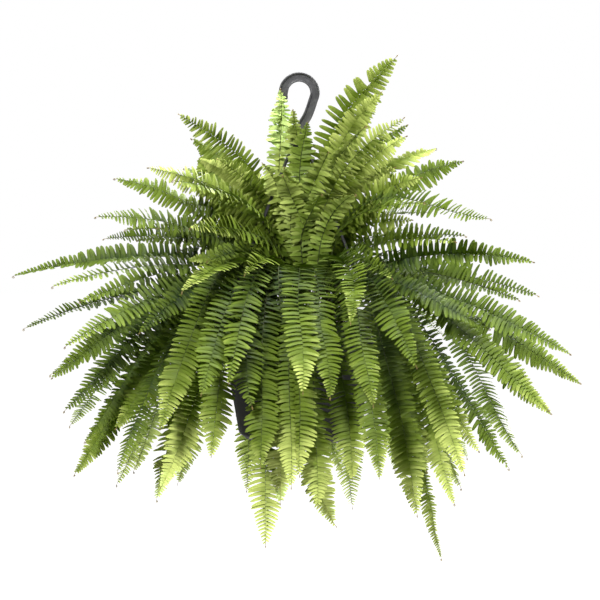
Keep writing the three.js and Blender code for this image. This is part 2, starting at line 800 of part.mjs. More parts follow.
for (const item of items) {
  const rootBox = box(root.width, root.depth, soil.rootDepth, 0, 0, 0)
    .rotateZ(item.at)
    .translate(item.x, item.y, soil.crownZ + root.rise - soil.rootDepth / 2);
  let body = toSolid(rootBox);
  for (const stations of item.blades) {
    body = body.add(toSolid(bladeGeometry(stations, fitLeaflets(stations, item.name, crowd))));
  }
  place(item.name, toGeometry(body), finish.frond);
}

export default plant;
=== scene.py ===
import math

import bmesh
import bpy
import numpy as np
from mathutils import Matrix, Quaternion, Vector, noise


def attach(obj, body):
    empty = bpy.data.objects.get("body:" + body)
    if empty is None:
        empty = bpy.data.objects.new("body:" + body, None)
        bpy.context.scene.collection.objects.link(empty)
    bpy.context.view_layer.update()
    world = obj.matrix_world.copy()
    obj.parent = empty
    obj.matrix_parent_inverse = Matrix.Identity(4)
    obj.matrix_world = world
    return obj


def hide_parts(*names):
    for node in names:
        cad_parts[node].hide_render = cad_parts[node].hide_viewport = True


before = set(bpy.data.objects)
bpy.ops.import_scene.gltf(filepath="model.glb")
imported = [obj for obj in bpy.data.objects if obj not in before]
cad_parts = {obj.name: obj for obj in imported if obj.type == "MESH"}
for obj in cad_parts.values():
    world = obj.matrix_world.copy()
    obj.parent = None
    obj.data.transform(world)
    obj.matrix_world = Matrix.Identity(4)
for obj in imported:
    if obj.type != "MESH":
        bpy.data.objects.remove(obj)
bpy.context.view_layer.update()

mm = 0.001
up = Vector((0, 0, 1))


view = {
    "target": (0.0012, 0.0, -0.3035),
    "distance": 2.6,
    "elevation": 6.0,
    "fieldWidth": 0.84,     # seen across the picture at the plant's middle
    "sensor": 36.0,
}

studio = {
    "floorHeight": -1.7,
    "floorRadius": 14.0,
    "worldLight": 0.055,
    "lamps": [              # name, place, power, size
        ("keyLamp", (-0.9, -2.2, 1.6), 184, 0.4),
        ("fillLamp", (2.4, -1.2, 0.6), 92, 0.7),
        ("topLamp", (0.5, 0.1, 2.1), 135, 0.7),
        ("backLamp", (0.8, 2.4, 0.6), 210, 1.6),
        ("bounceLamp", (0.3, -0.5, -1.6), 22, 1.2),
    ],
}


def turnTo(thing, way):
    thing.rotation_mode = "QUATERNION"
    thing.rotation_quaternion = way.to_track_quat("-Z", "Y")


def makeCamera():
    data = bpy.data.cameras.new("photoCamera")
    data.sensor_width = view["sensor"]
    data.lens = view["sensor"] * view["distance"] / view["fieldWidth"]
    camera = bpy.data.objects.new("photoCamera", data)
    tilt = math.radians(view["elevation"])
    back = Vector((0, -math.cos(tilt), math.sin(tilt)))
    camera.location = Vector(view["target"]) + back * view["distance"]
    turnTo(camera, -back)
    bpy.context.scene.collection.objects.link(camera)
    bpy.context.scene.camera = camera


def makeLamps():
    for name, place, power, size in studio["lamps"]:
        data = bpy.data.lights.new(name, "AREA")
        data.energy = power
        data.size = size
        lamp = bpy.data.objects.new(name, data)
        lamp.location = place
        turnTo(lamp, Vector(view["target"]) - lamp.location)
        bpy.context.scene.collection.objects.link(lamp)


def makeWorld():
    world = bpy.data.worlds.new("paleStudio")
    world.use_nodes = True
    bpy.context.scene.world = world
    tree = world.node_tree
    tree.nodes.clear()
    lighting = addNode(tree, "Background", Color=(0.98, 0.99, 1), Strength=studio["worldLight"]).outputs[0]
    seen = addNode(tree, "Background", Color=(1, 1, 1), Strength=1.0).outputs[0]
    mixed = mixShaders(tree, addNode(tree, "LightPath").outputs["Is Camera Ray"], lighting, seen)
    tree.links.new(mixed, addNode(tree, "OutputWorld").inputs["Surface"])
    bpy.context.scene.view_settings.view_transform = "Standard"


def fill(tree, socket, value):
    if isinstance(value, bpy.types.NodeSocket):
        tree.links.new(value, socket)
    elif isinstance(value, (tuple, list)) and socket.type == "RGBA":
        socket.default_value = (*value[:3], 1)
    else:
        socket.default_value = value


def feed(tree, node, **inputs):
    # an underscore stands for the space in a socket's name
    for name, value in inputs.items():
        fill(tree, node.inputs[name.replace("_", " ")], value)


def addNode(tree, kind, settings=None, **inputs):
    node = tree.nodes.new("ShaderNode" + kind)
    for name, value in (settings or {}).items():
        setattr(node, name, value)
    feed(tree, node, **inputs)
    return node


def calc(tree, operation, first, second=0.5, clamp=False):
    node = addNode(tree, "Math", {"operation": operation, "use_clamp": clamp})
    fill(tree, node.inputs[0], first)
    fill(tree, node.inputs[1], second)
    return node.outputs[0]


def plus(tree, base, value, share):
    return calc(tree, "ADD", base, calc(tree, "MULTIPLY", value, share))


def bumps(tree, height, strength, distance, **inputs):
    return addNode(tree, "Bump", Height=height, Strength=strength, Distance=distance, **inputs).outputs[0]


def blendColour(tree, factor, first, second):
    node = addNode(tree, "Mix", {"data_type": "RGBA"})
    sockets = {socket.identifier: socket for socket in node.inputs}
    fill(tree, sockets["Factor_Float"], factor)
    fill(tree, sockets["A_Color"], first)
    fill(tree, sockets["B_Color"], second)
    return next(socket for socket in node.outputs if socket.identifier == "Result_Color")


def ease(tree, value, low, high, toLow=0.0, toHigh=1.0):
    node = addNode(
        tree, "MapRange", {"interpolation_type": "SMOOTHSTEP"},
        Value=value, From_Min=low, From_Max=high, To_Min=toLow, To_Max=toHigh,
    )
    return node.outputs["Result"]


def mixShaders(tree, share, first, second):
    mix = addNode(tree, "MixShader")
    for socket, value in zip(mix.inputs, (share, first, second)):
        fill(tree, socket, value)
    return mix.outputs[0]


def attribute(tree, name):
    return addNode(tree, "Attribute", {"attribute_name": name}).outputs["Fac"]


def newGroup(name, inputs, outputs):
    group = bpy.data.node_groups.new(name, "ShaderNodeTree")
    for label, value in inputs.items():
        socket = group.interface.new_socket(name=label, in_out="INPUT", socket_type="NodeSocketFloat")
        socket.default_value = value
    for label in outputs:
        group.interface.new_socket(name=label, in_out="OUTPUT", socket_type="NodeSocketFloat")
    start = group.nodes.new("NodeGroupInput")
    end = group.nodes.new("NodeGroupOutput")
    return group, start.outputs, end.inputs


def useGroup(tree, group, **values):
    node = tree.nodes.new("ShaderNodeGroup")
    node.node_tree = group
    feed(tree, node, **values)
    return node.outputs


def newMaterial(name):
    material = bpy.data.materials.new(name)
    material.use_nodes = True
    tree = material.node_tree
    return material, tree, tree.nodes["Principled BSDF"]


def makeMottle():
    # soft blotches with finer grain over them, 0 to 1
    group, given, out = newGroup("mottle", {"Scale": 60.0, "Fine": 6.0, "Sharpness": 0.3}, ["Mask", "Grain"])
    place = addNode(group, "TexCoord").outputs["Object"]
    broad = addNode(group, "TexNoise", Vector=place, Scale=given["Scale"], Detail=3.0, Roughness=0.55)
    fineScale = calc(group, "MULTIPLY", given["Scale"], given["Fine"])
    fine = addNode(group, "TexNoise", Vector=place, Scale=fineScale, Detail=4.0, Roughness=0.6)
    soft = calc(group, "SUBTRACT", 0.3, calc(group, "MULTIPLY", given["Sharpness"], 0.28))
    low = calc(group, "SUBTRACT", 0.5, soft)
    high = calc(group, "ADD", 0.5, soft)
    group.links.new(ease(group, broad.outputs["Fac"], low, high), out["Mask"])
    group.links.new(fine.outputs["Fac"], out["Grain"])
    return group


def makeScuffs():
    # long faint scratches and rubbed patches, 0 to 1
    group, given, out = newGroup("scuffs", {"Scale": 40.0, "Amount": 0.5}, ["Mask", "Height"])
    place = addNode(group, "TexCoord").outputs["Object"]
    stretch = addNode(group, "Mapping", Vector=place, Scale=(1.0, 1.0, 0.12), Rotation=(0.0, 0.35, 0.2))
    lineScale = calc(group, "MULTIPLY", given["Scale"], 8.0)
    lines = addNode(group, "TexNoise", Vector=stretch.outputs[0], Scale=lineScale, Detail=2.0, Roughness=0.5)
    patches = addNode(group, "TexNoise", Vector=place, Scale=given["Scale"], Detail=3.0, Roughness=0.6)
    scratch = ease(group, lines.outputs["Fac"], 0.6, 0.68)
    rubbed = ease(group, patches.outputs["Fac"], 0.5, 0.72)
    both = calc(group, "MULTIPLY", scratch, rubbed)
    soft = calc(group, "MULTIPLY", rubbed, 0.35)
    worn = calc(group, "MAXIMUM", both, soft)
    group.links.new(calc(group, "MULTIPLY", worn, given["Amount"], True), out["Mask"])
    group.links.new(lines.outputs["Fac"], out["Height"])
    return group


def makeVeins():
    # the midrib of a leaflet and the veins that leave it at a slant, from the leaflet's own places
    group, given, out = newGroup("veins", {"Along": 0.0, "Across": 0.0, "Pairs": 16.0}, ["Midrib", "Vein"])
    slant = calc(group, "SUBTRACT", calc(group, "MULTIPLY", given["Along"], given["Pairs"]),
                 calc(group, "MULTIPLY", given["Across"], 1.6))
    wave = calc(group, "SINE", calc(group, "MULTIPLY", slant, 6.2832))
    group.links.new(ease(group, given["Across"], 0.0, 0.2, 1.0, 0.0), out["Midrib"])
    group.links.new(ease(group, wave, 0.35, 1.0), out["Vein"])
    return group


makeCamera()
makeLamps()
makeWorld()
mottle = makeMottle()
scuffs = makeScuffs()
veins = makeVeins()
print("studio ready")


leafFinish = {
    "deep": (0.010, 0.021, 0.005),          # from the oldest leaflets
    "fresh": (0.088, 0.128, 0.010),
    "young": (0.420, 0.480, 0.125),
    "pale": (0.680, 0.860, 0.300),          # to the youngest
    "under": (0.100, 0.150, 0.020),
    "midrib": (0.120, 0.180, 0.020),
    "glow": (0.290, 0.420, 0.030),          # light that comes through
    "glowShare": 0.22,
    "roughness": 0.42,
    "specular": 0.13,
    "blotches": 0.14,                       # how far the tone changes within a leaflet
    "lighterEnd": 0.26,                     # and from its base to its point, partly the leaflet's own colour and partly painted shade at the base near the rib
}


def makeLeafMaterial():
    material, tree, surface = newMaterial("fernLeaf")
    along = attribute(tree, "along")
    patch = useGroup(tree, mottle, Scale=45.0, Fine=9.0, Sharpness=0.2)
    lines = useGroup(tree, veins, Along=along, Across=attribute(tree, "across"))
    blotch = calc(tree, "SUBTRACT", patch["Mask"], 0.5)
    # the tone attribute holds the leaf's green together with painted light below the pot and on upright fronds,
    # and painted shade near the heart
    tone = plus(tree, attribute(tree, "tone"), blotch, leafFinish["blotches"])
    # lighter towards the leaflet's point: its own colour, and painted shade at its base near the rib
    tone = plus(tree, tone, calc(tree, "SUBTRACT", along, 0.45), leafFinish["lighterEnd"])
    colour = blendColour(tree, ease(tree, tone, 0.0, 0.62), leafFinish["deep"], leafFinish["fresh"])
    colour = blendColour(tree, ease(tree, tone, 0.5, 1.05), colour, leafFinish["young"])
    colour = blendColour(tree, ease(tree, tone, 1.05, 1.45), colour, leafFinish["pale"])
    colour = blendColour(tree, calc(tree, "MULTIPLY", lines["Midrib"], 0.4), colour, leafFinish["midrib"])
    under = calc(tree, "MULTIPLY", attribute(tree, "under"), 0.45)
    colour = blendColour(tree, under, colour, leafFinish["under"])
    grain = calc(tree, "MULTIPLY", patch["Grain"], 0.3)
    bump = bumps(tree, calc(tree, "SUBTRACT", grain, calc(tree, "MULTIPLY", lines["Vein"], 0.7)), 0.35, 0.0004)
    feed(
        tree, surface, Base_Color=colour, Roughness=plus(tree, leafFinish["roughness"], patch["Grain"], 0.22),
        Specular_IOR_Level=leafFinish["specular"], Normal=bump,
    )
    glow = addNode(tree, "BsdfTranslucent", Color=leafFinish["glow"], Normal=bump).outputs[0]
    mixed = mixShaders(tree, leafFinish["glowShare"], surface.outputs[0], glow)
    tree.links.new(mixed, tree.nodes["Material Output"].inputs["Surface"])
    return material


ribFinish = {
    "root": (0.034, 0.019, 0.009),
    "green": (0.030, 0.046, 0.008),
    "tip": (0.150, 0.110, 0.035),
    "roughness": 0.5,
    "specular": 0.2,
}


def makeRibMaterial():
    material, tree, surface = newMaterial("fernRib")
    along = attribute(tree, "along")
    patch = useGroup(tree, mottle, Scale=220.0, Fine=5.0, Sharpness=0.6)
    colour = blendColour(tree, ease(tree, along, 0.02, 0.30), ribFinish["root"], ribFinish["green"])
    colour = blendColour(tree, ease(tree, along, 0.95, 1.0), colour, ribFinish["tip"])
    colour = blendColour(tree, calc(tree, "MULTIPLY", patch["Mask"], 0.35), colour, ribFinish["root"])
    feed(
        tree, surface, Base_Color=colour, Roughness=plus(tree, ribFinish["roughness"], patch["Grain"], 0.3),
        Specular_IOR_Level=ribFinish["specular"], Normal=bumps(tree, patch["Grain"], 0.5, 0.0003),
    )
    return material


potFinish = {
    "colour": (0.0045, 0.005, 0.0045),
    "worn": (0.014, 0.0145, 0.014),
    "dust": (0.030, 0.027, 0.020),
    "dustShare": 0.16,
    "roughness": 0.60,
    "specular": 0.08,
}


def makePotMaterial():
    material, tree, surface = newMaterial("potPlastic")
    wear = useGroup(tree, scuffs, Scale=26.0, Amount=0.9)
    patch = useGroup(tree, mottle, Scale=18.0, Fine=30.0, Sharpness=0.5)
    colour = blendColour(tree, wear["Mask"], potFinish["colour"], potFinish["worn"])
    dust = calc(tree, "MULTIPLY", patch["Mask"], potFinish["dustShare"])
    rough = plus(tree, potFinish["roughness"], wear["Mask"], 0.3)
    grain = bumps(tree, patch["Grain"], 0.18, 0.0003)
    feed(
        tree, surface, Base_Color=blendColour(tree, dust, colour, potFinish["dust"]),
        Roughness=calc(tree, "ADD", rough, dust), Specular_IOR_Level=potFinish["specular"],
        Normal=bumps(tree, wear["Height"], 0.06, 0.0002, Normal=grain),
    )
    return material


hangerFinish = {
    "colour": (0.023, 0.023, 0.0245),
    # the lighter streaks are partly wear and partly painted highlight on the ridges
    "worn": (0.120, 0.118, 0.122),
    "roughness": 0.40,
}


def makeHangerMaterial():
    material, tree, surface = newMaterial("hangerPlastic")
    wear = useGroup(tree, scuffs, Scale=70.0, Amount=0.8)
    patch = useGroup(tree, mottle, Scale=55.0, Fine=24.0, Sharpness=0.4)
    feed(
        # the lighter scuffs are partly wear and partly painted highlight
        tree, surface, Base_Color=blendColour(tree, wear["Mask"], hangerFinish["colour"], hangerFinish["worn"]),
        Roughness=plus(tree, hangerFinish["roughness"], patch["Mask"], 0.16),
        Normal=bumps(tree, patch["Grain"], 0.25, 0.0002),
    )
    return material


soilFinish = {
    "dark": (0.018, 0.011, 0.007),
    "brown": (0.075, 0.044, 0.025),
    "pale": (0.30, 0.25, 0.19),
    "roughness": 0.82,
}


def makeSoilMaterial():
    material, tree, surface = newMaterial("pottingSoil")
    patch = useGroup(tree, mottle, Scale=90.0, Fine=6.0, Sharpness=0.8)
    specks = useGroup(tree, mottle, Scale=420.0, Fine=3.0, Sharpness=0.9)
    colour = blendColour(tree, patch["Mask"], soilFinish["dark"], soilFinish["brown"])
    colour = blendColour(tree, ease(tree, specks["Grain"], 0.66, 0.72), colour, soilFinish["pale"])
    feed(
        tree, surface, Base_Color=colour,
        Roughness=plus(tree, soilFinish["roughness"], patch["Grain"], 0.15),
        Normal=bumps(tree, specks["Grain"], 0.9, 0.0015),
    )
    return material


floorFinish = {"first": (0.93, 0.93, 0.93), "second": (0.95, 0.95, 0.945), "roughness": 0.8}


def makeFloorMaterial():
    material, tree, surface = newMaterial("paleFloor")
    patch = useGroup(tree, mottle, Scale=1.5, Fine=40.0, Sharpness=0.1)
    colour = blendColour(tree, patch["Mask"], floorFinish["first"], floorFinish["second"])
    feed(
        tree, surface, Base_Color=colour, Roughness=floorFinish["roughness"], Emission_Color=colour,
        Emission_Strength=addNode(tree, "LightPath").outputs["Is Camera Ray"],
    )
    return material


leafMaterial = makeLeafMaterial()
ribMaterial = makeRibMaterial()
potMaterial = makePotMaterial()
hangerMaterial = makeHangerMaterial()
soilMaterial = makeSoilMaterial()
floorMaterial = makeFloorMaterial()
print("finishes ready")


def draws(seed):
    state = [seed]

    def draw():
        state[0] = (state[0] * 1664525 + 1013904223) % 4294967296
        return state[0] / 4294967296
    return draw


def between(value, low=0.0, high=1.0):
    return min(max(value, low), high)


def blend(low, high, share):
    return low + (high - low) * share


def around(radius, angle, z=0.0):
    return radius * math.cos(angle), radius * math.sin(angle), z


def wayAt(places, k):
    return (places[min(k + 1, len(places) - 1)] - places[max(k - 1, 0)]).normalized()


def addObject(name, mesh, *materials):
    piece = bpy.data.objects.new(name, mesh)
    bpy.context.scene.collection.objects.link(piece)
    for material in materials:
        mesh.materials.append(material)
    return piece


def finishPiece(piece, slotName, *nodes):
    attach(piece, "root")
    if nodes:
        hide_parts(*nodes)


def meshFrom(work, name):
    mesh = bpy.data.meshes.new(name)
    work.to_mesh(mesh)
    work.free()
    return mesh


def discard(piece):
    mesh = piece.data
    bpy.data.objects.remove(piece)
    bpy.data.meshes.remove(mesh)


def smooth(mesh, degrees=40):
    mesh.shade_smooth()
    mesh.set_sharp_from_angle(angle=math.radians(degrees))


def bands(rings):
    # the corners of each face between one ring of points and the next
    for low, high in zip(rings, rings[1:]):
        for k in range(len(low)):
            after = (k + 1) % len(low)
            yield low[k], low[after], high[after], high[k]


def latheMesh(name, profile, sides):
    # profile runs from the axis round to the axis, as (radius, height)
    work = bmesh.new()
    rings = []
    for radius, height in profile:
        if radius < 1e-6:
            rings.append([work.verts.new((0, 0, height))])
        else:
            turns = [2 * math.pi * (k + 0.5) / sides for k in range(sides)]
            rings.append([work.verts.new(around(radius, turn, height)) for turn in turns])
    for low, high in zip(rings, rings[1:]):
        for k in range(sides):
            after = (k + 1) % sides
            if len(low) == 1:
                work.faces.new((low[0], high[after], high[k]))
            elif len(high) == 1:
                work.faces.new((low[k], low[after], high[0]))
            else:
                work.faces.new((low[k], low[after], high[after], high[k]))
    bmesh.ops.recalc_face_normals(work, faces=work.faces)
    return meshFrom(work, name)


def roundCorners(points, radii, count=4):
    # each corner becomes a quadratic curve
    rounded = []
    total = len(points)
    for k in range(total):
        before, corner, after = (Vector(points[(k + d) % total]) for d in (-1, 0, 1))
        radius = radii[k] if isinstance(radii, (list, tuple)) else radii
        toBefore = before - corner
        toAfter = after - corner
        reach = min(radius, toBefore.length * 0.48, toAfter.length * 0.48)
        if reach < 1e-7:
            rounded.append(corner)
            continue
        start = corner + toBefore.normalized() * reach
        end = corner + toAfter.normalized() * reach
        for step in range(count + 1):
            t = step / count
            rounded.append(start * (1 - t) ** 2 + corner * (2 * t * (1 - t)) + end * t ** 2)
    return rounded


def cutWith(piece, cutters):
    # takes the cutters out of the piece and leaves a plain mesh
    for cutter in cutters:
        modifier = piece.modifiers.new("cut", "BOOLEAN")
        modifier.operation = "DIFFERENCE"
        modifier.solver = "EXACT"
        modifier.object = cutter
    shaped = bpy.data.meshes.new_from_object(piece.evaluated_get(bpy.context.evaluated_depsgraph_get()))
    piece.modifiers.clear()
    old = piece.data
    piece.data = shaped
    bpy.data.meshes.remove(old)
    for cutter in cutters:
        discard(cutter)


def boxPiece(name, size, place, turn):
    work = bmesh.new()
    bmesh.ops.create_cube(work, size=1)
    for vert in work.verts:
        vert.co = Vector((vert.co.x * size[0], vert.co.y * size[1], vert.co.z * size[2])) + Vector(place)
        vert.co.rotate(Quaternion(up, turn))
    return addObject(name, meshFrom(work, name))


pot = {
    "rimZ": -326 * mm,
    "height": 170 * mm,
    "baseRadius": 84 * mm,
    "baseChamfer": 7 * mm,
    "rimRadius": 113 * mm,
    "wall": 1.8 * mm,
    "floor": 2.4 * mm,
    "lip": 11 * mm,
    "skirt": 8 * mm,
    "drainHoles": 6,
    "drainRadius": 5 * mm,
    "drainCircle": 54 * mm,
    "sides": 128,
}
strap = {
    "angles": (-30, 90, 210),
    "width": 5 * mm,
    "thickness": 2.6 * mm,
    "play": 0.3 * mm,       # round its head and foot
}
potBase = pot["rimZ"] - pot["height"]
taper = (pot["rimRadius"] - pot["baseRadius"]) / pot["height"]
slotRadius = pot["rimRadius"] + (pot["lip"] - pot["wall"]) / 2


def potProfile():
    innerBase = pot["baseRadius"] - pot["wall"] + taper * pot["floor"]
    flange = pot["rimRadius"] + pot["lip"]
    chamfer = pot["baseChamfer"]
    wall = pot["wall"]
    corners = [
        (pot["baseRadius"] - chamfer, potBase, 2.5),
        (pot["baseRadius"] + taper * chamfer, potBase + chamfer, 2.5),
        (pot["rimRadius"] - taper * wall, pot["rimZ"] - wall, 1.2),
        (flange - wall, pot["rimZ"] - wall, 1.0),
        (flange - wall, pot["rimZ"] - pot["skirt"], 0.5),
        (flange, pot["rimZ"] - pot["skirt"], 0.5),
        (flange, pot["rimZ"], 2.0),
        (pot["rimRadius"] - wall, pot["rimZ"], 1.6),
        (innerBase + taper * chamfer, potBase + chamfer + pot["floor"], 2.5),
        (innerBase - chamfer, potBase + pot["floor"], 2.5),
    ]
    corners = [(0, potBase, 0)] + corners + [(0, potBase + pot["floor"], 0)]
    points = [(radius, height) for radius, height, _ in corners]
    radii = [size * mm for _, _, size in corners]
    return [(p.x, p.y) for p in roundCorners(points, radii)]


def makePot():
    body = addObject("potBody", latheMesh("potBody", potProfile(), pot["sides"]), potMaterial)
    cutters = []
    for k in range(pot["drainHoles"]):
        middle = Vector(around(pot["drainCircle"], 2 * math.pi * (k + 0.5) / pot["drainHoles"], potBase))
        work = bmesh.new()
        bmesh.ops.create_cone(
            work, cap_ends=True, segments=24, radius1=pot["drainRadius"], radius2=pot["drainRadius"],
            depth=4 * pot["floor"],
        )
        for vert in work.verts:
            vert.co += middle
        cutters.append(addObject("drain", meshFrom(work, "drain")))
    slotSize = (strap["thickness"] + 2 * strap["play"], strap["width"] + 2 * strap["play"], 4 * pot["wall"])
    for degrees in strap["angles"]:
        cutters.append(boxPiece("slot", slotSize, (slotRadius, 0, pot["rimZ"]), math.radians(degrees)))
    cutWith(body, cutters)
    smooth(body.data)
    finishPiece(body, "pot_plastic", "pot")


makePot()
print("pot ready")


soil = {
    "edgeZ": -346 * mm,
    "crownZ": -336 * mm,
    "relief": 2.2 * mm,
    "lumps": 90,            # to a metre
    "flat": 0.75,           # part of the radius, before it slopes down to the edge
    "gap": 0.6 * mm,        # to the pot's wall
    "raised": 0.4 * mm,     # above the pot's floor
    "rings": 30,
    "sides": 96,
}
soilEdge = pot["rimRadius"] - pot["wall"] - taper * (pot["rimZ"] - soil["edgeZ"])
crumb = {
    "count": 420,
    "size": 3.2 * mm,
    "smallest": 0.35,
    "within": 0.96,         # part of the soil's radius
    "raised": 0.15,
    "squash": ((0.7, 1.3), (0.7, 1.3), (0.5, 0.9)),
    "rough": (0.8, 1.2),
    "seed": 21,
}


def soilHeight(x, y):
    radius = math.hypot(x, y)
    slope = max(0.0, (radius - soil["flat"] * soilEdge) / ((1 - soil["flat"]) * soilEdge))
    height = soil["crownZ"] + (soil["edgeZ"] - soil["crownZ"]) * min(slope, 1.0)
    lumps = noise.fractal(Vector((x, y, 0)) * soil["lumps"], 0.6, 2.1, 4)
    return height - soil["relief"] * (0.5 + 0.5 * lumps)


def makeSoil():
    edge = soilEdge - soil["gap"]
    bottom = potBase + pot["floor"] + soil["raised"]
    floorRadius = pot["baseRadius"] - pot["wall"] - pot["baseChamfer"] - soil["gap"]
    rings = soil["rings"]
    profile = [(0, bottom), (floorRadius, bottom), (edge - 1.0 * mm, soil["edgeZ"] - 3 * mm)]
    profile += [(edge * k / rings, soil["edgeZ"]) for k in range(rings, 0, -1)] + [(0, soil["crownZ"])]
    mesh = latheMesh("soilBed", profile, soil["sides"])
    for vert in mesh.vertices:
        if vert.co.z > soil["edgeZ"] - 1e-5:
            vert.co.z = soilHeight(vert.co.x, vert.co.y)
    smooth(mesh, 60)
    bed = addObject("soilBed", mesh, soilMaterial)
    finishPiece(bed, "potting_soil", "soil")
    makeCrumbs(edge)


def makeCrumbs(edge):
    draw = draws(crumb["seed"])
    work = bmesh.new()
    for _ in range(crumb["count"]):
        radius = edge * crumb["within"] * math.sqrt(draw())
        place = Vector(around(radius, 2 * math.pi * draw()))
        size = crumb["size"] * blend(crumb["smallest"], 1, draw())
        place.z = soilHeight(place.x, place.y) + size * crumb["raised"]
        made = bmesh.ops.create_icosphere(work, subdivisions=1, radius=size * 0.5)["verts"]
        squash = [blend(*limits, draw()) for limits in crumb["squash"]]
        turn = Quaternion(Vector((draw() - 0.5, draw() - 0.5, draw() - 0.5)).normalized(), 6.28 * draw())
        for vert in made:
            spot = vert.co * blend(*crumb["rough"], draw())
            spot = Vector((spot.x * squash[0], spot.y * squash[1], spot.z * squash[2]))
            spot.rotate(turn)
            vert.co = spot + place
    finishPiece(addObject("soilCrumbs", meshFrom(work, "soilCrumbs"), soilMaterial), "potting_soil")


makeSoil()
print("soil ready")


hook = {
    "eyeRadius": 15.5 * mm,
    "depth": 13 * mm,
    "width": 8 * mm,
    "edge": 2.2 * mm,
    "web": 3 * mm,
    "lipDrop": 13 * mm,
    "hubTop": -84 * mm,
    "hubHeight": 11 * mm,
    "hubRadius": 17 * mm,
    "rounding": 0.7 * mm,
    "rings": 120,
    "curveSteps": 24,
    "neck": [(12 * mm, -46 * mm), (4 * mm, -60 * mm), (0, -74 * mm)],
    "endRings": 5,          # that grow from the rounded end
    "endSize": 0.82,        # of the first one
}
strapHead = {"width": 12 * mm, "depth": 4 * mm, "height": 5 * mm, "radius": 10 * mm}


def hookPoints():
    radius = hook["eyeRadius"] + hook["depth"] / 2
    middle = -hook["eyeRadius"]
    points = [(-radius, middle - hook["lipDrop"]), (-radius, middle - hook["lipDrop"] / 2)]
    for degrees in range(180, -31, -30):
        angle = math.radians(degrees)
        points.append((radius * math.cos(angle), middle + radius * math.sin(angle)))
    points += hook["neck"] + [(0, hook["hubTop"] - hook["hubHeight"] / 2)]
    return [Vector((x, 0, z)) for x, z in points]


def crossing(p, q, start, end, t):
    # the place at t on the line that is at p at the start and at q at the end
    return p * ((end - t) / (end - start)) + q * ((t - start) / (end - start))


def throughPoints(points, steps):
    # a centripetal curve through the points, as evenly spaced places
    ends = [points[0] * 2 - points[1]] + points + [points[-1] * 2 - points[-2]]
    dense = []
    for a, b, c, d in zip(ends, ends[1:], ends[2:], ends[3:]):
        t1 = (b - a).length ** 0.5
        t2 = t1 + (c - b).length ** 0.5
        t3 = t2 + (d - c).length ** 0.5
        for k in range(hook["curveSteps"]):
            t = t1 + (t2 - t1) * k / hook["curveSteps"]
            before = crossing(a, b, 0.0, t1, t)
            middle = crossing(b, c, t1, t2, t)
            after = crossing(c, d, t2, t3, t)
            low = crossing(before, middle, 0.0, t2, t)
            high = crossing(middle, after, t1, t3, t)
            dense.append(crossing(low, high, t1, t2, t))
    dense.append(points[-1])
    return evenly(dense, steps)


def evenly(dense, steps):
    lengths = [0.0]
    for a, b in zip(dense, dense[1:]):
        lengths.append(lengths[-1] + (b - a).length)
    places = []
    k = 0
    for step in range(steps + 1):
        want = lengths[-1] * step / steps
        while k + 2 < len(lengths) and lengths[k + 1] < want:
            k += 1
        span = max(lengths[k + 1] - lengths[k], 1e-12)
        places.append(dense[k].lerp(dense[k + 1], min((want - lengths[k]) / span, 1.0)))
    return places


def makeHook():
    half = hook["depth"] / 2
    out = hook["width"] / 2
    web = hook["web"] / 2
    inner = half - hook["edge"]
    corners = [
        (-out, -half), (out, -half), (out, -inner), (web, -inner), (web, inner), (out, inner),
        (out, half), (-out, half), (-out, inner), (-web, inner), (-web, -inner), (-out, -inner),
    ]
    section = roundCorners([(x, y, 0) for x, y in corners], hook["rounding"], 3)
    places = throughPoints(hookPoints(), hook["rings"])
    work = bmesh.new()
    rings = []
    for k, point in enumerate(places):
        way = wayAt(places, k)
        across = way.cross(Vector((0, 1, 0)))
        fromEnd = min(k / hook["endRings"], 1.0)
        size = hook["endSize"] + (1 - hook["endSize"]) * math.sin(fromEnd * math.pi / 2)
        rings.append([
            work.verts.new(point + Vector((0, p.x, 0)) * size + across * (p.y * size)) for p in section
        ])
    for corners in bands(rings):
        work.faces.new(corners)
    work.faces.new(rings[0])
    work.faces.new(list(reversed(rings[-1])))
    bmesh.ops.recalc_face_normals(work, faces=work.faces)
    bend = addObject("hangerHook", meshFrom(work, "hangerHook"), hangerMaterial)
    low = hook["hubTop"] - hook["hubHeight"]
    radius = hook["hubRadius"]
    rim = [(0, low), (radius, low), (radius, hook["hubTop"]), (0, hook["hubTop"])]
    profile = [(p.x, p.y) for p in roundCorners(rim, [0, 1.5 * mm, 1.5 * mm, 0])]
    hub = addObject("hub", latheMesh("hub", profile, 64))
    join = bend.modifiers.new("join", "BOOLEAN")
    join.operation = "UNION"
    join.solver = "EXACT"
    join.object = hub
    cutters = []
    play = strap["play"]
    pocketHeight = strapHead["height"] + 2 * play
    inside = strapHead["radius"] - strapHead["depth"] / 2 - play
    for degrees in strap["angles"]:
        angle = math.radians(degrees)
        cutters.append(boxPiece(
            "pocket", (strapHead["depth"] + 2 * play, strapHead["width"] + 2 * play, pocketHeight),
            (strapHead["radius"], 0, hook["hubTop"] - pocketHeight / 2 + play), angle,
        ))
        # the slot starts a little outside of the pocket's inner side, so that no two sides lie in one plane
        cutters.append(boxPiece(
            "slot", (radius, strap["width"] + 2 * play, 2 * hook["hubHeight"]),
            (inside + 0.1 * mm + radius / 2, 0, hook["hubTop"] - hook["hubHeight"] / 2), angle,
        ))
    cutWith(bend, cutters)
    discard(hub)
    smooth(bend.data)
    finishPiece(bend, "hanger_plastic", "hanger_hook")


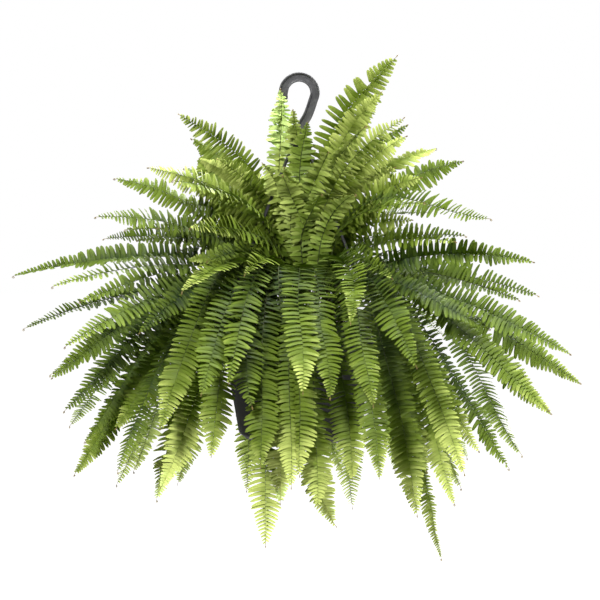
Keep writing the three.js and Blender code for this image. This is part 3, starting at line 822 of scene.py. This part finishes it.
def makeStraps():
    # the straps keep their own shape, with their edges rounded
    for k in range(len(strap["angles"])):
        node = f"hanger_arm_{k + 1}"
        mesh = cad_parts[node].data.copy()
        mesh.materials.clear()
        work = bmesh.new()
        work.from_mesh(mesh)
        bmesh.ops.remove_doubles(work, verts=work.verts, dist=1e-6)
        bmesh.ops.dissolve_limit(work, angle_limit=0.02, verts=work.verts, edges=work.edges)
        bmesh.ops.bevel(
            work, geom=list(work.edges), offset=0.5 * mm, segments=2, affect="EDGES", clamp_overlap=True,
        )
        bmesh.ops.recalc_face_normals(work, faces=work.faces)
        work.to_mesh(mesh)
        work.free()
        smooth(mesh)
        piece = addObject(f"strap_{k + 1}", mesh, hangerMaterial)
        finishPiece(piece, "hanger_plastic", node)


makeHook()
makeStraps()
print("hanger ready")


# frond tips in sprays that share a root: x, y, z in mm
sprays = [
    [[-165, -30, -45], [-110, -70, -105]],
    [[-155, 90, -80, -60], [-170, 150, -125]],
    [[-200, -110, -115], [-165, -150, -130]],
    [[-260, 30, -135, -40], [-125, -40, -160]],
    [[-270, -120, -180], [-325, -150, -270, -25], [-220, -60, -215]],
    [[-290, 170, -230], [-250, 80, -210]],
    [[-400, 0, -270], [-300, -60, -300]],
    [[-400, 90, -355, -50], [-360, 70, -420]],
    [[-305, -190, -345, -30], [-210, -160, -330]],
    [[-340, -60, -405], [-315, -130, -440]],
    [[-340, 130, -505], [-270, 110, -590]],
    [[-300, -30, -500], [-320, 10, -555]],
    [[-300, 60, -520], [-240, 60, -560]],
    [[-240, -170, -515], [-250, -90, -470]],
    [[-195, -90, -570], [-185, -150, -540]],
    [[-180, 120, -590], [-140, 130, -510]],
    [[-180, -210, -450], [-115, -190, -490]],
    [[-45, -150, -620], [-10, -200, -530], [-25, -160, -560]],
    [[25, -180, -560], [50, -140, -595], [0, -195, -515]],
    [[80, 160, -635]],
    [[105, -210, -515], [70, -190, -520], [75, -115, -150]],
    [[160, -120, -585], [175, -90, -530]],
    [[200, -40, -665], [215, -70, -580], [150, -70, -570]],
    [[190, 150, -615]],
    [[235, 60, -585], [142, 130, -570]],
    [[220, -160, -520], [245, -100, -500]],
    [[255, 190, -565]],
    [[295, -20, -540], [325, 80, -540, 40]],
    [[340, -90, -445], [365, -110, -365, -30]],
    [[360, 30, -470], [395, -10, -420]],
    [[350, 120, -310, -30], [315, 60, -310, -30], [240, 90, -220]],
    [[320, -60, -245, -30], [260, -80, -335], [210, -90, -215]],
    [[250, -160, -180, 130], [165, -130, -160, 30]],
    [[230, 30, -110], [165, -60, -130]],
    [[200, 140, -95], [150, 20, -75]],
    [[140, -90, -50], [90, -70, -60], [40, -75, -95]],
    [[155, 85, -60], [112, 66, -20]],
    [[135, -10, 35, 30], [112, -30, -15], [-8, -55, -38]],
    [[-25, -45, -10], [-50, -60, -110], [-20, -75, -115]],
    [[-125, -240, -400], [-50, -210, -500], [-120, -160, -235]],
    [[-90, -240, -385], [-60, -220, -420], [-70, -190, -250]],
    [[5, -260, -395], [40, -240, -405], [30, -108, -150]],
    [[95, -240, -415], [150, -240, -365], [120, -185, -255]],
    [[65, -260, -305], [-22, -98, -125], [12, -62, -55]],
    [[-150, -220, -270], [-140, -190, -190]],
]
# the light green of the younger fronds' ends, by their place in the list; those of sprays 14 and 15 are raised
# partly as painted light on fronds that lie in shade
sprayTonesAndLight = {
    0: 0.5, 14: 1.0, 15: 0.8, 16: 0.8, 17: 0.95, 18: 0.8, 25: 0.85, 29: 0.7, 37: 0.7, 38: 1.0, 44: 0.75,
}

# sprays of the side that the photo hides, over these degrees, and the reach and height of their fronds
farSide = {
    "sprays": 9,
    "from": 42,
    "to": 138,
    "jitter": 12,           # in degrees
    "least": 0.92,          # part of the listed reach
    "reachVaries": 0.16,
    "heightVaries": 40,
    "seed": 9,
}
farLevels = [
    [[215, -600], [300, -470]],
    [[330, -370], [280, -210]],
    [[170, -120], [250, -530]],
]
rootRings = [(12, 5), (29, 10), (46, 16), (63, 23)]
root = {"sunk": 0.5, "apart": 3.6}
rib = {
    "heartZ": -235,
    "pitch": 56,            # between the stations that a rib's way is tried at
    "bare": 0.3,
    "bareSteps": 2,
    "roll": 0.85,
    "tallTurn": 0.85,
    "rollJitter": 0.6,
    "rollDone": 0.4,
    "heights": (0.82, 1.2),
    "seed": 5,
    "width": 2.4,
    "tipWidth": 0.8,
    "radius": 0.42,         # as a part of the width
}
# how a rib arches, with lengths in mm
arch = {
    "lean": 0.1,            # away from the middle at the root
    "outward": 0.25,        # of a hanging frond
    "tallLift": 0.52,       # as a part of the reach
    "lift": 125,            # of other fronds, with more where they hang
    "hangLift": 100,
    "tipReach": 0.4,        # part of the reach that runs in the tip's direction
    "droop": 0.15,          # of the tip's direction, in radians, with more on tall, level and front fronds
    "tallDroop": 0.17,
    "levelDroop": 0.25,
    "frontDroop": 0.5,
    "steepest": -1.45,
    "tallFrom": 0.4,        # the rise that a tall frond begins at, and how soon it counts in full
    "tallRun": 0.4,
    "hangRun": 0.4,
    "frontFrom": 0.4,
    "frontRun": 0.6,
    "samples": 200,
}
# what a rib keeps clear of, in mm, and the bends and lifts that it takes to do so
path = {
    "parts": 14,
    "apart": 6.5,
    "fromStrap": 8,
    "strapPoints": 90,
    "fromHub": 22,
    "fromRim": 14,
    "bends": (0, 12, -12, 24, -24, 36, -36, 50, -50, 66, -66),
    "lifts": (1, 0.88, 1.14, 0.76, 1.28, 1.42, 0.66),
}


def riseOf(tip):
    return math.atan2(tip[2] - rib["heartZ"], math.hypot(tip[0], tip[1]))


def farSprays():
    draw = draws(farSide["seed"])
    made = []
    for k in range(farSide["sprays"]):
        middle = farSide["from"] + (farSide["to"] - farSide["from"]) * k / (farSide["sprays"] - 1)
        spray = []
        for reach, z in farLevels[k % len(farLevels)]:
            angle = math.radians(middle + farSide["jitter"] * (draw() - 0.5))
            radius = reach * (farSide["least"] + farSide["reachVaries"] * draw())
            height = z + farSide["heightVaries"] * (draw() - 0.5)
            spray.append([*around(radius, angle, height)])
        made.append(spray)
    return made


def middleAngle(spray):
    x, y = (sum(tip[k] for tip in spray) / len(spray) for k in (0, 1))
    return math.atan2(y, x)


def placeRoots(allSprays):
    # the higher a spray's lowest frond, the further in it stands, and each ring keeps the fronds' order
    items = []
    for index, spray in enumerate(allSprays):
        items.append({
            "index": index,
            "name": f"frond_{index + 1:02d}",
            "spray": list(spray),
            "young": None,
            "rise": min(riseOf(tip) for tip in spray),
            "angle": middleAngle(spray),
        })
    waiting = sorted(items, key=lambda item: -item["rise"])
    for ring, (radius, count) in enumerate(rootRings):
        members = sorted(waiting[:count], key=lambda item: item["angle"])
        waiting = waiting[count:]
        step = 2 * math.pi / len(members)
        shift = sum(item["angle"] - k * step for k, item in enumerate(members)) / len(members)
        for k, item in enumerate(members):
            item["ring"] = ring
            item["at"] = shift + k * step
            item["radius"] = radius
    return items


class RibCurve:
    # a rib rises from its root, arches over and ends in the direction that a frond of its rise has
    def __init__(self, start, lean, tip, height, bend, lifted):
        rise = riseOf(tip)
        end = np.array(tip[:3], float)
        out = np.array([tip[0], tip[1], 0.0])
        out /= np.linalg.norm(out)
        above = np.array([0.0, 0.0, 1.0])
        reach = np.linalg.norm(end - start)
        hang = max(-rise, 0)
        tall = between((rise - arch["tallFrom"]) / arch["tallRun"])
        towards = max(-out[1] - arch["frontFrom"], 0) / arch["frontRun"]
        droop = arch["droop"] + arch["tallDroop"] * tall + arch["levelDroop"] * max(rise, 0) * (1 - tall)
        droop += arch["frontDroop"] * towards * min(hang / arch["hangRun"], 1)
        tipAngle = max(rise - droop, arch["steepest"])
        tipWay = out * math.cos(tipAngle) + above * math.sin(tipAngle)
        if rise > arch["tallFrom"]:
            usual = arch["tallLift"] * reach
        else:
            usual = arch["lift"] + arch["hangLift"] * hang
        lift = lifted * height * (usual + (tip[3] if len(tip) > 3 else 0))
        first = start + above * lift + lean * (arch["lean"] * lift) + out * (arch["outward"] * hang * lift)
        second = end - tipWay * (arch["tipReach"] * reach)
        side = np.cross(out, above)
        self.points = (start, first + side * (bend * 0.5), second + side * bend, end)
        dense = self.at(np.linspace(0, 1, arch["samples"] + 1))
        steps = np.linalg.norm(np.diff(dense, axis=0), axis=1)
        self.lengths = np.concatenate([[0.0], np.cumsum(steps)])
        self.length = self.lengths[-1]

    def at(self, t):
        t = np.asarray(t)[:, None]
        a, b, c, d = self.points
        return a * (1 - t) ** 3 + b * (3 * t * (1 - t) ** 2) + c * (3 * t * t * (1 - t)) + d * t ** 3

    def along(self, parts):
        # points at these parts of the length
        times = np.arange(arch["samples"] + 1) / arch["samples"]
        return self.at(np.interp(np.asarray(parts) * self.length, self.lengths, times))

    def route(self):
        pairs = round(self.length * (1 - rib["bare"]) / rib["pitch"])
        times = [rib["bare"] * k / rib["bareSteps"] for k in range(rib["bareSteps"])]
        times += [rib["bare"] + (1 - rib["bare"]) * k / pairs for k in range(pairs + 1)]
        corners = self.along(times)
        share = np.linspace(0, 1, path["parts"] + 1)[:, None]
        return np.concatenate([a + (b - a) * share for a, b in zip(corners, corners[1:])])


class Room:
    # the points that ribs keep away from
    def __init__(self):
        self.taken = []
        self.take(np.array([[0, 0, (hook["hubTop"] - hook["hubHeight"] / 2) / mm]]), None, path["fromHub"])
        angles = np.radians(np.arange(0, 360, 4))
        rim = (pot["rimRadius"] + pot["lip"] - pot["wall"]) / mm
        height = np.full(len(angles), (pot["rimZ"] - pot["skirt"] / 2) / mm)
        self.take(np.stack([rim * np.cos(angles), rim * np.sin(angles), height], axis=1), None, path["fromRim"])
        share = np.linspace(0, 1, path["strapPoints"] + 1)
        radius = (strapHead["radius"] + (slotRadius - strapHead["radius"]) * share) / mm
        height = (hook["hubTop"] + (pot["rimZ"] - hook["hubTop"]) * share) / mm
        for degrees in strap["angles"]:
            turn = math.radians(degrees)
            line = np.stack([radius * math.cos(turn), radius * math.sin(turn), height], axis=1)
            self.take(line, None, path["fromStrap"])

    def take(self, points, owner, apart):
        self.taken.append((points, owner, apart, points.min(axis=0) - apart, points.max(axis=0) + apart))

    def isClear(self, points, owner):
        low, high = points.min(axis=0), points.max(axis=0)
        for others, name, apart, otherLow, otherHigh in self.taken:
            if name == owner or (low > otherHigh).any() or (high < otherLow).any():
                continue
            gaps = others[:, None, :] - points[None, :, :]
            if (gaps ** 2).sum(axis=2).min() < apart ** 2:
                return False
        return True

    def clearCurve(self, stem, lean, owner):
        for lifted in path["lifts"]:
            for bend in path["bends"]:
                curve = RibCurve(stem["start"], lean, stem["tip"], stem["height"], bend, lifted)
                points = curve.route()
                if self.isClear(points, owner):
                    self.take(points, owner, path["apart"])
                    return curve
        return None


def rollOf(tip, draw):
    # level fronds turn their upper face to the viewer, tall ones turn until they face the viewer
    reach = math.hypot(tip[0], tip[1])
    angle = math.atan2(tip[1], tip[0])
    front = -math.pi / 2 - angle if tip[1] < -0.55 * reach else math.pi / 2 - angle
    facing = math.atan2(math.sin(front), math.cos(front))
    level = (1 if tip[1] < 60 else -1) * min(reach / 160, 1) * rib["roll"] * tip[0] / reach
    tall = between((riseOf(tip) - 0.2) / 0.6)
    return level + (facing - level) * rib["tallTurn"] * tall + rib["rollJitter"] * (draw() - 0.5)


# a root of the inner rings also bears a younger frond that stands inside of the others
young = {"rings": 3, "seed": 3, "turn": 30, "reach": (110, 230), "front": (-0.8, -0.25), "back": (0.0, 1.0)}


def addYoung(items):
    draw = draws(young["seed"])
    for item in items:
        spray = item["spray"]
        if len(spray) > 2 or item["ring"] >= young["rings"]:
            continue
        angle = middleAngle(spray) + math.radians(young["turn"]) * (2 * draw() - 1)
        reach = blend(*young["reach"], draw())
        behind = between(math.sin(angle) + 0.8)
        low, high = (blend(front, back, behind) for front, back in zip(young["front"], young["back"]))
        rise = blend(low, high, draw())
        height = rib["heartZ"] + reach * math.sin(rise)
        item["young"] = [*around(reach * math.cos(rise), angle, height)]
        spray.append(item["young"])


def growStems():
    # the grown fronds go first, and a young one that finds no clear way is left out
    items = placeRoots(sprays + farSprays())
    addYoung(items)
    room = Room()
    draw = draws(rib["seed"])
    for item in items:
        way = np.array(around(1.0, item["at"]))
        side = np.array([-way[1], way[0], 0.0])
        ordered = sorted(item["spray"], key=lambda tip: side[0] * tip[0] + side[1] * tip[1])
        item["way"] = way
        item["stems"] = []
        for k, tip in enumerate(ordered):
            start = np.array(around(item["radius"], item["at"], soil["crownZ"] / mm - root["sunk"]))
            start += side * ((k - (len(ordered) - 1) / 2) * root["apart"])
            stem = {"tip": tip, "start": start, "roll": rollOf(tip, draw)}
            stem["height"] = blend(*rib["heights"], draw())
            item["stems"].append(stem)
    for grown in (True, False):
        for item in items:
            for stem in item["stems"]:
                if (stem["tip"] is not item["young"]) == grown:
                    stem["curve"] = room.clearCurve(stem, item["way"], item["name"])
    missing = [item["name"] for item in items for stem in item["stems"] if stem["curve"] is None]
    print("stems ready, young ones without room:", missing)
    return items


# three values are for hanging, level and tall fronds, and two are for hanging and tall ones
blade = {
    "stations": 64,          # along a rib
    "sway": 2.4 * mm,        # of the rib
    "pitch": (6.9 * mm, 9.2 * mm, 7.6 * mm),     # between the leaflets of one side
    "tipPitch": 0.5,         # at the tip, as a part of that
    "leafStart": 0.20,       # part of the rib below the first leaflets
    "leafEnd": 0.985,
    "lost": 0.015,           # part of the leaflets that are missing
    "leaflet": (22.5 * mm, 23 * mm, 21 * mm),    # length
    "half": (2.65 * mm, 3.5 * mm, 2.75 * mm),    # half of the width
    "inner": 1.3,            # how much wider they are on young fronds and on the far side
    "shortHalf": 0.42,       # of the shortest leaflets, as a part of the width
    "shortFrond": 0.66,      # the leaflets' length on the shortest fronds, as a part
    "longFrond": 320 * mm,
    "firstSize": 0.42,       # of the first leaflets, and how soon they get longer
    "firstGrowth": 2.4,
    "lastSize": 0.06,
    "thick": 0.22 * mm,
    "taper": (4.0, 2.1),     # bluntness of the frond's tip, the second on level fronds
    "fold": (10, -24),       # degrees that leaflets hang below the blade, the second on level fronds
    "foldVaries": 22,        # from frond to frond
    "spread": (0, 6),        # degrees that they lean to the frond's tip
    "tipSpread": 20,         # added at the tip
    "twist": 22,             # degrees that a leaflet turns its face to the light
    "offset": 0.35,          # between the leaflets of the two sides, as a part of the pitch
    "restless": (1, 1.9),    # how much the leaflets of a frond differ in their turns
    "turnsVary": (12, 16, 20),       # degrees of their lean, fold and twist
    "waves": ((3, 35.2), (7, 14.72)),       # slow waves of fold and twist along the frond
    "waveFold": 5,
    "waveTwist": 6,
    "droop": 0.06,           # of a leaflet's point away from its face
    "sag": (0.08, 0.12),     # of the point straight down
    "falcate": 0.07,         # bend to the frond's tip
    "rootTone": 0.12,        # from 0, the oldest green, to 1, the youngest; the low root tone is partly painted shade near the plant's heart
    "tipTone": 0.31,
    "toneVaries": 0.48,
    "leafletTone": 0.14,     # from leaflet to leaflet
    "tallPaintedLight": 0.42,        # painted light: how much lighter upright fronds are
    "lowPaintedLight": 0.36,         # painted light from below: how much lighter the parts are that hang below the pot
    "lowFrom": -440 * mm,
    "lowRun": 130 * mm,
    "seed": 77,
}
# how far single measures go below and above their value
varies = {
    "frondLength": (0.9, 1.1),
    "frondPitch": (0.88, 1.12),
    "length": (0.93, 1.07),
    "half": (0.92, 1.08),
    "droop": (0.5, 1.5),
    "falcate": (0.6, 1.4),
    "sag": (0.5, 1.5),
}
# a frond's end is still rolled up, over an angle in radians, and gets tighter and thicker
bud = {"turn": 2.1 * mm, "steps": 14, "angle": 7.5, "tighter": 0.75, "thicker": 0.5}
# fronds that look unlike the others, by spray and frond
ownLooks = {
    (37, 0): {"pitch": 10.4 * mm, "half": 3.7 * mm, "leaflet": 27 * mm, "tip": 0.55, "restless": 1},
    (34, 0): {"pitch": 10.8 * mm, "half": 3.5 * mm, "leaflet": 25 * mm, "tip": 0.7, "restless": 1},
    (38, 0): {"pitch": 4.8 * mm, "half": 3.0 * mm, "leaflet": 20 * mm, "tip": 1.6, "restless": 4.5},
    (43, 0): {"pitch": 5.2 * mm, "half": 2.9 * mm, "tip": 0.7},
    (44, 0): {"pitch": 5.4 * mm, "half": 2.9 * mm, "leaflet": 26 * mm, "tip": 0.8},
    (22, 0): {"pitch": 6.0 * mm, "half": 2.2 * mm, "leaflet": 15 * mm, "tip": 0.5},
    (17, 0): {"pitch": 8.2 * mm, "half": 2.5 * mm, "leaflet": 26 * mm, "tip": 0.75},
    (18, 0): {"pitch": 7.6 * mm, "half": 2.4 * mm, "leaflet": 25 * mm, "tip": 0.7},
    (19, 0): {"pitch": 7.6 * mm, "half": 2.4 * mm, "leaflet": 25 * mm, "tip": 0.6},
}
leafletOutline = [
    # along, half width on the frond tip's side, half width on the other side
    (0.00, 1.28, 1.12), (0.10, 1.48, 1.24), (0.32, 1.12, 1.02), (0.64, 0.98, 0.90),
    (0.87, 0.72, 0.66), (0.97, 0.36, 0.33),
]


def sizeAlong(t, taper):
    along = max((t - blade["leafStart"]) / (1 - blade["leafStart"]), 0)
    atFoot = min(blade["firstSize"] + blade["firstGrowth"] * along, 1)
    return atFoot * min(blade["lastSize"] + taper * (1 - along) ** 0.9, 1)


class FrondMesh:
    def __init__(self):
        self.verts = []
        self.faces = []
        self.kinds = []      # 0 for leaflets, 1 for ribs
        self.values = {"along": [], "across": [], "tone": [], "under": []}

    def point(self, place, along, across, tone):
        self.verts.append(place)
        for name, value in (("along", along), ("across", across), ("tone", tone)):
            self.values[name].append(value)
        return len(self.verts) - 1

    def face(self, corners, kind, under=0.0):
        self.faces.append(corners)
        self.kinds.append(kind)
        self.values["under"].append(under)

    def build(self, name):
        mesh = bpy.data.meshes.new(name)
        mesh.from_pydata(self.verts, [], self.faces)
        mesh.materials.append(leafMaterial)
        mesh.materials.append(ribMaterial)
        mesh.polygons.foreach_set("material_index", self.kinds)
        for label, values in self.values.items():
            domain = "FACE" if label == "under" else "POINT"
            mesh.attributes.new(label, "FLOAT", domain).data.foreach_set("value", values)
        smooth(mesh, 55)
        return mesh


def addLeaflet(made, place, way, across, face, length, look, tone, draw):
    # a blade with a raised midrib above and a flat underside
    slim = look["half"] * blend(blade["shortHalf"], 1, min(length / blade["leaflet"][0], 1))
    slim *= blend(*varies["half"], draw())
    droop = face * (length * blade["droop"] * blend(*varies["droop"], draw()))
    curve = across * (length * blade["falcate"] * blend(*varies["falcate"], draw()))
    sag = up * (length * look["sag"] * blend(*varies["sag"], draw()))
    rows = []
    for along, front, back in leafletOutline:
        centre = place + way * (length * along) + (curve - droop - sag) * along ** 2
        rows.append((
            made.point(centre + across * (slim * front), along, 1.0, tone),
            made.point(centre + face * (slim * 0.16 + blade["thick"]), along, 0.0, tone),
            made.point(centre - across * (slim * back), along, 1.0, tone),
        ))
    end = made.point(place + way * length + curve - droop - sag, 1.0, 0.6, tone)
    turn = 1 if way.cross(across).dot(face) > 0 else -1
    edges = ((0, 1, 0.0), (1, 2, 0.0), (2, 0, 1.0))
    for low, high in zip(rows, rows[1:]):
        for a, b, under in edges:
            made.face((low[a], low[b], high[b], high[a])[::turn], 0, under)
    for a, b, under in edges:
        made.face((rows[-1][a], rows[-1][b], end)[::turn], 0, under)
    made.face(rows[0][::-turn], 0)


def addTube(made, places, radii, alongs, tone, sides=6):
    rings = []
    across = None
    for k, place in enumerate(places):
        way = wayAt(places, k)
        if across is None:
            across = way.orthogonal().normalized()
        across = (across - way * across.dot(way)).normalized()
        other = way.cross(across)
        ring = []
        for side in range(sides):
            angle = 2 * math.pi * side / sides
            spot = place + (across * math.cos(angle) + other * math.sin(angle)) * radii[k]
            ring.append(made.point(spot, alongs[k], 0.0, tone))
        rings.append(ring)
    for corners in bands(rings):
        made.face(corners, 1)
    made.face(rings[0][::-1], 1)
    made.face(rings[-1], 1)


def addBud(made, place, way, face, radius, tone):
    spots = []
    sizes = []
    for k in range(bud["steps"] + 1):
        share = k / bud["steps"]
        arm = bud["turn"] * (1 - bud["tighter"] * share)
        angle = share * bud["angle"]
        rolled = way * (arm * math.sin(angle)) + face * (arm * math.cos(angle))
        spots.append(place - face * bud["turn"] + rolled)
        sizes.append(radius * (1 + bud["thicker"] * share))
    addTube(made, spots, sizes, [1.0] * len(spots), tone, 5)


def lookOf(tip, own, draw):
    # the measures of a frond's leaflets, by how steeply it rises
    rise = riseOf(tip)
    tall = between(rise + 0.3)
    level = math.exp(-((rise + 0.1) / 0.45) ** 2)
    look = {name: blend(*blade[name], tall) for name in ("restless", "spread", "sag")}
    look.update({name: blend(*blade[name], level) for name in ("fold", "taper")})
    length, pitch = (blend(*varies[name], draw()) for name in ("frondLength", "frondPitch"))
    for name, factor in (("leaflet", length), ("pitch", pitch), ("half", 1)):
        hanging, flat, upright = blade[name]
        look[name] = factor * (blend(hanging, upright, tall) + (flat - (hanging + upright) / 2) * level)
    look.update(own)
    return look


def ribFrame(stem, phase, turns, sway):
    # places along the rib, the way to the blade's side at each, and the way that its face looks
    steps = blade["stations"]
    outward = Vector((stem["tip"][0], stem["tip"][1], 0)).normalized().cross(up)
    places = [Vector(point) * mm for point in stem["curve"].along([k / steps for k in range(steps + 1)])]
    for k, place in enumerate(places):
        t = k / steps
        place += outward * (sway * math.sin(phase + turns * 6.28 * t) * math.sin(math.pi * t))
    sides = []
    faces = []
    for k in range(steps + 1):
        ahead = wayAt(places, k)
        side = (outward - ahead * outward.dot(ahead)).normalized()
        side.rotate(Quaternion(ahead, stem["roll"] * min(math.sqrt(k / steps / rib["rollDone"]), 1)))
        sides.append(side)
        faces.append(side.cross(ahead))
    return places, sides, faces


def addFrond(made, stem, own, tone, draw):
    steps = blade["stations"]
    phase = draw() * 10
    places, sides, faces = ribFrame(stem, phase, 1.2 + draw(), blade["sway"] * (draw() + 0.5))
    shares = [k / steps for k in range(steps + 1)]
    radii = [blend(rib["width"], rib["tipWidth"], share ** 0.8) * mm * rib["radius"] for share in shares]
    addTube(made, places, radii, shares, tone[0])
    ownFold = blade["foldVaries"] * (draw() - 0.5)
    look = lookOf(stem["tip"], own, draw)
    length = stem["curve"].length * mm
    full = look["leaflet"] * blend(blade["shortFrond"], 1, min(length / blade["longFrond"], 1))
    leanVaries, foldVaries, twistVaries = (look["restless"] * degrees for degrees in blade["turnsVary"])
    distance = blade["leafStart"] * length
    count = 0
    while distance < length * blade["leafEnd"]:
        t = distance / length
        for sign in (1, -1):
            if draw() < blade["lost"]:
                continue
            at = min(t + (blade["offset"] if sign > 0 else 0) * look["pitch"] / length, 0.99)
            k = int(at * steps)
            place, side, face = (row[k].lerp(row[k + 1], at * steps - k) for row in (places, sides, faces))
            side = side.normalized()
            face = face.normalized()
            ahead = face.cross(side)
            size = full * sizeAlong(at, look["taper"]) * blend(*varies["length"], draw())
            wave = sum(math.sin(phase * start + at * run) for start, run in blade["waves"])
            lean = look["spread"] + blade["tipSpread"] * at ** 4 + leanVaries * (draw() - 0.5)
            fold = look["fold"] + ownFold + foldVaries * (draw() - 0.5) + blade["waveFold"] * wave
            twist = blade["twist"] + twistVaries * (draw() - 0.5) - blade["waveTwist"] * wave
            lean, fold, twist = math.radians(lean), math.radians(fold), math.radians(twist)
            way = side * (sign * math.cos(lean)) + ahead * math.sin(lean)
            way = (way * math.cos(fold) - face * math.sin(fold)).normalized()
            across = (ahead - way * ahead.dot(way)).normalized()
            across.rotate(Quaternion(way, sign * twist))
            # darker towards the root: the older green there, and painted shade near the plant's heart
            shade = blend(tone[0], tone[1], at ** 1.6) + blade["leafletTone"] * (draw() - 0.5)
            # painted light from below on the parts that hang below the pot
            shade += blade["lowPaintedLight"] * between((blade["lowFrom"] - place.z) / blade["lowRun"])
            foot = place + way * (radii[k] * 0.5)
            addLeaflet(made, foot, way, across, way.cross(across) * sign, size, look, shade, draw)
            count += 1
        distance += look["pitch"] * (1 + (blade["tipPitch"] - 1) * t ** 3)
    addBud(made, places[-1], (places[-1] - places[-3]).normalized(), faces[-1], radii[-1], tone[1])
    return count


def makeFronds():
    draw = draws(blade["seed"])
    leaflets = 0
    for item in growStems():
        made = FrondMesh()
        for stem in item["stems"]:
            isYoung = stem["tip"] is item["young"]
            own = dict(ownLooks.get((item["index"], item["spray"].index(stem["tip"])), {}))
            tone = [blade["rootTone"] * draw(), blade["tipTone"] + blade["toneVaries"] * draw()]
            if not isYoung:
                # a listed spray's tone is the young green, and for sprays 14 and 15 partly painted light
                tone[1] = own.get("tip", sprayTonesAndLight.get(item["index"], tone[1]))
            if isYoung or item["index"] >= len(sprays):
                own["half"] = blade["half"][0] * blade["inner"]
            if stem["curve"] is not None:
                # painted light on upright fronds, in full at the root and by half at the tip
                lighter = blade["tallPaintedLight"] * between(riseOf(stem["tip"]) / 0.8)
                leaflets += addFrond(made, stem, own, (tone[0] + lighter, tone[1] + 0.5 * lighter), draw)
        piece = addObject("leafy_" + item["name"], made.build("leafy_" + item["name"]))
        finishPiece(piece, "fern_leaf", item["name"])
    print("fronds ready, leaflets:", leaflets)


makeFronds()


def makeFloor():
    work = bmesh.new()
    bmesh.ops.create_circle(work, cap_ends=True, segments=96, radius=studio["floorRadius"])
    for vert in work.verts:
        vert.co.z = studio["floorHeight"]
    addObject("paleFloor", meshFrom(work, "paleFloor"), floorMaterial)


makeFloor()
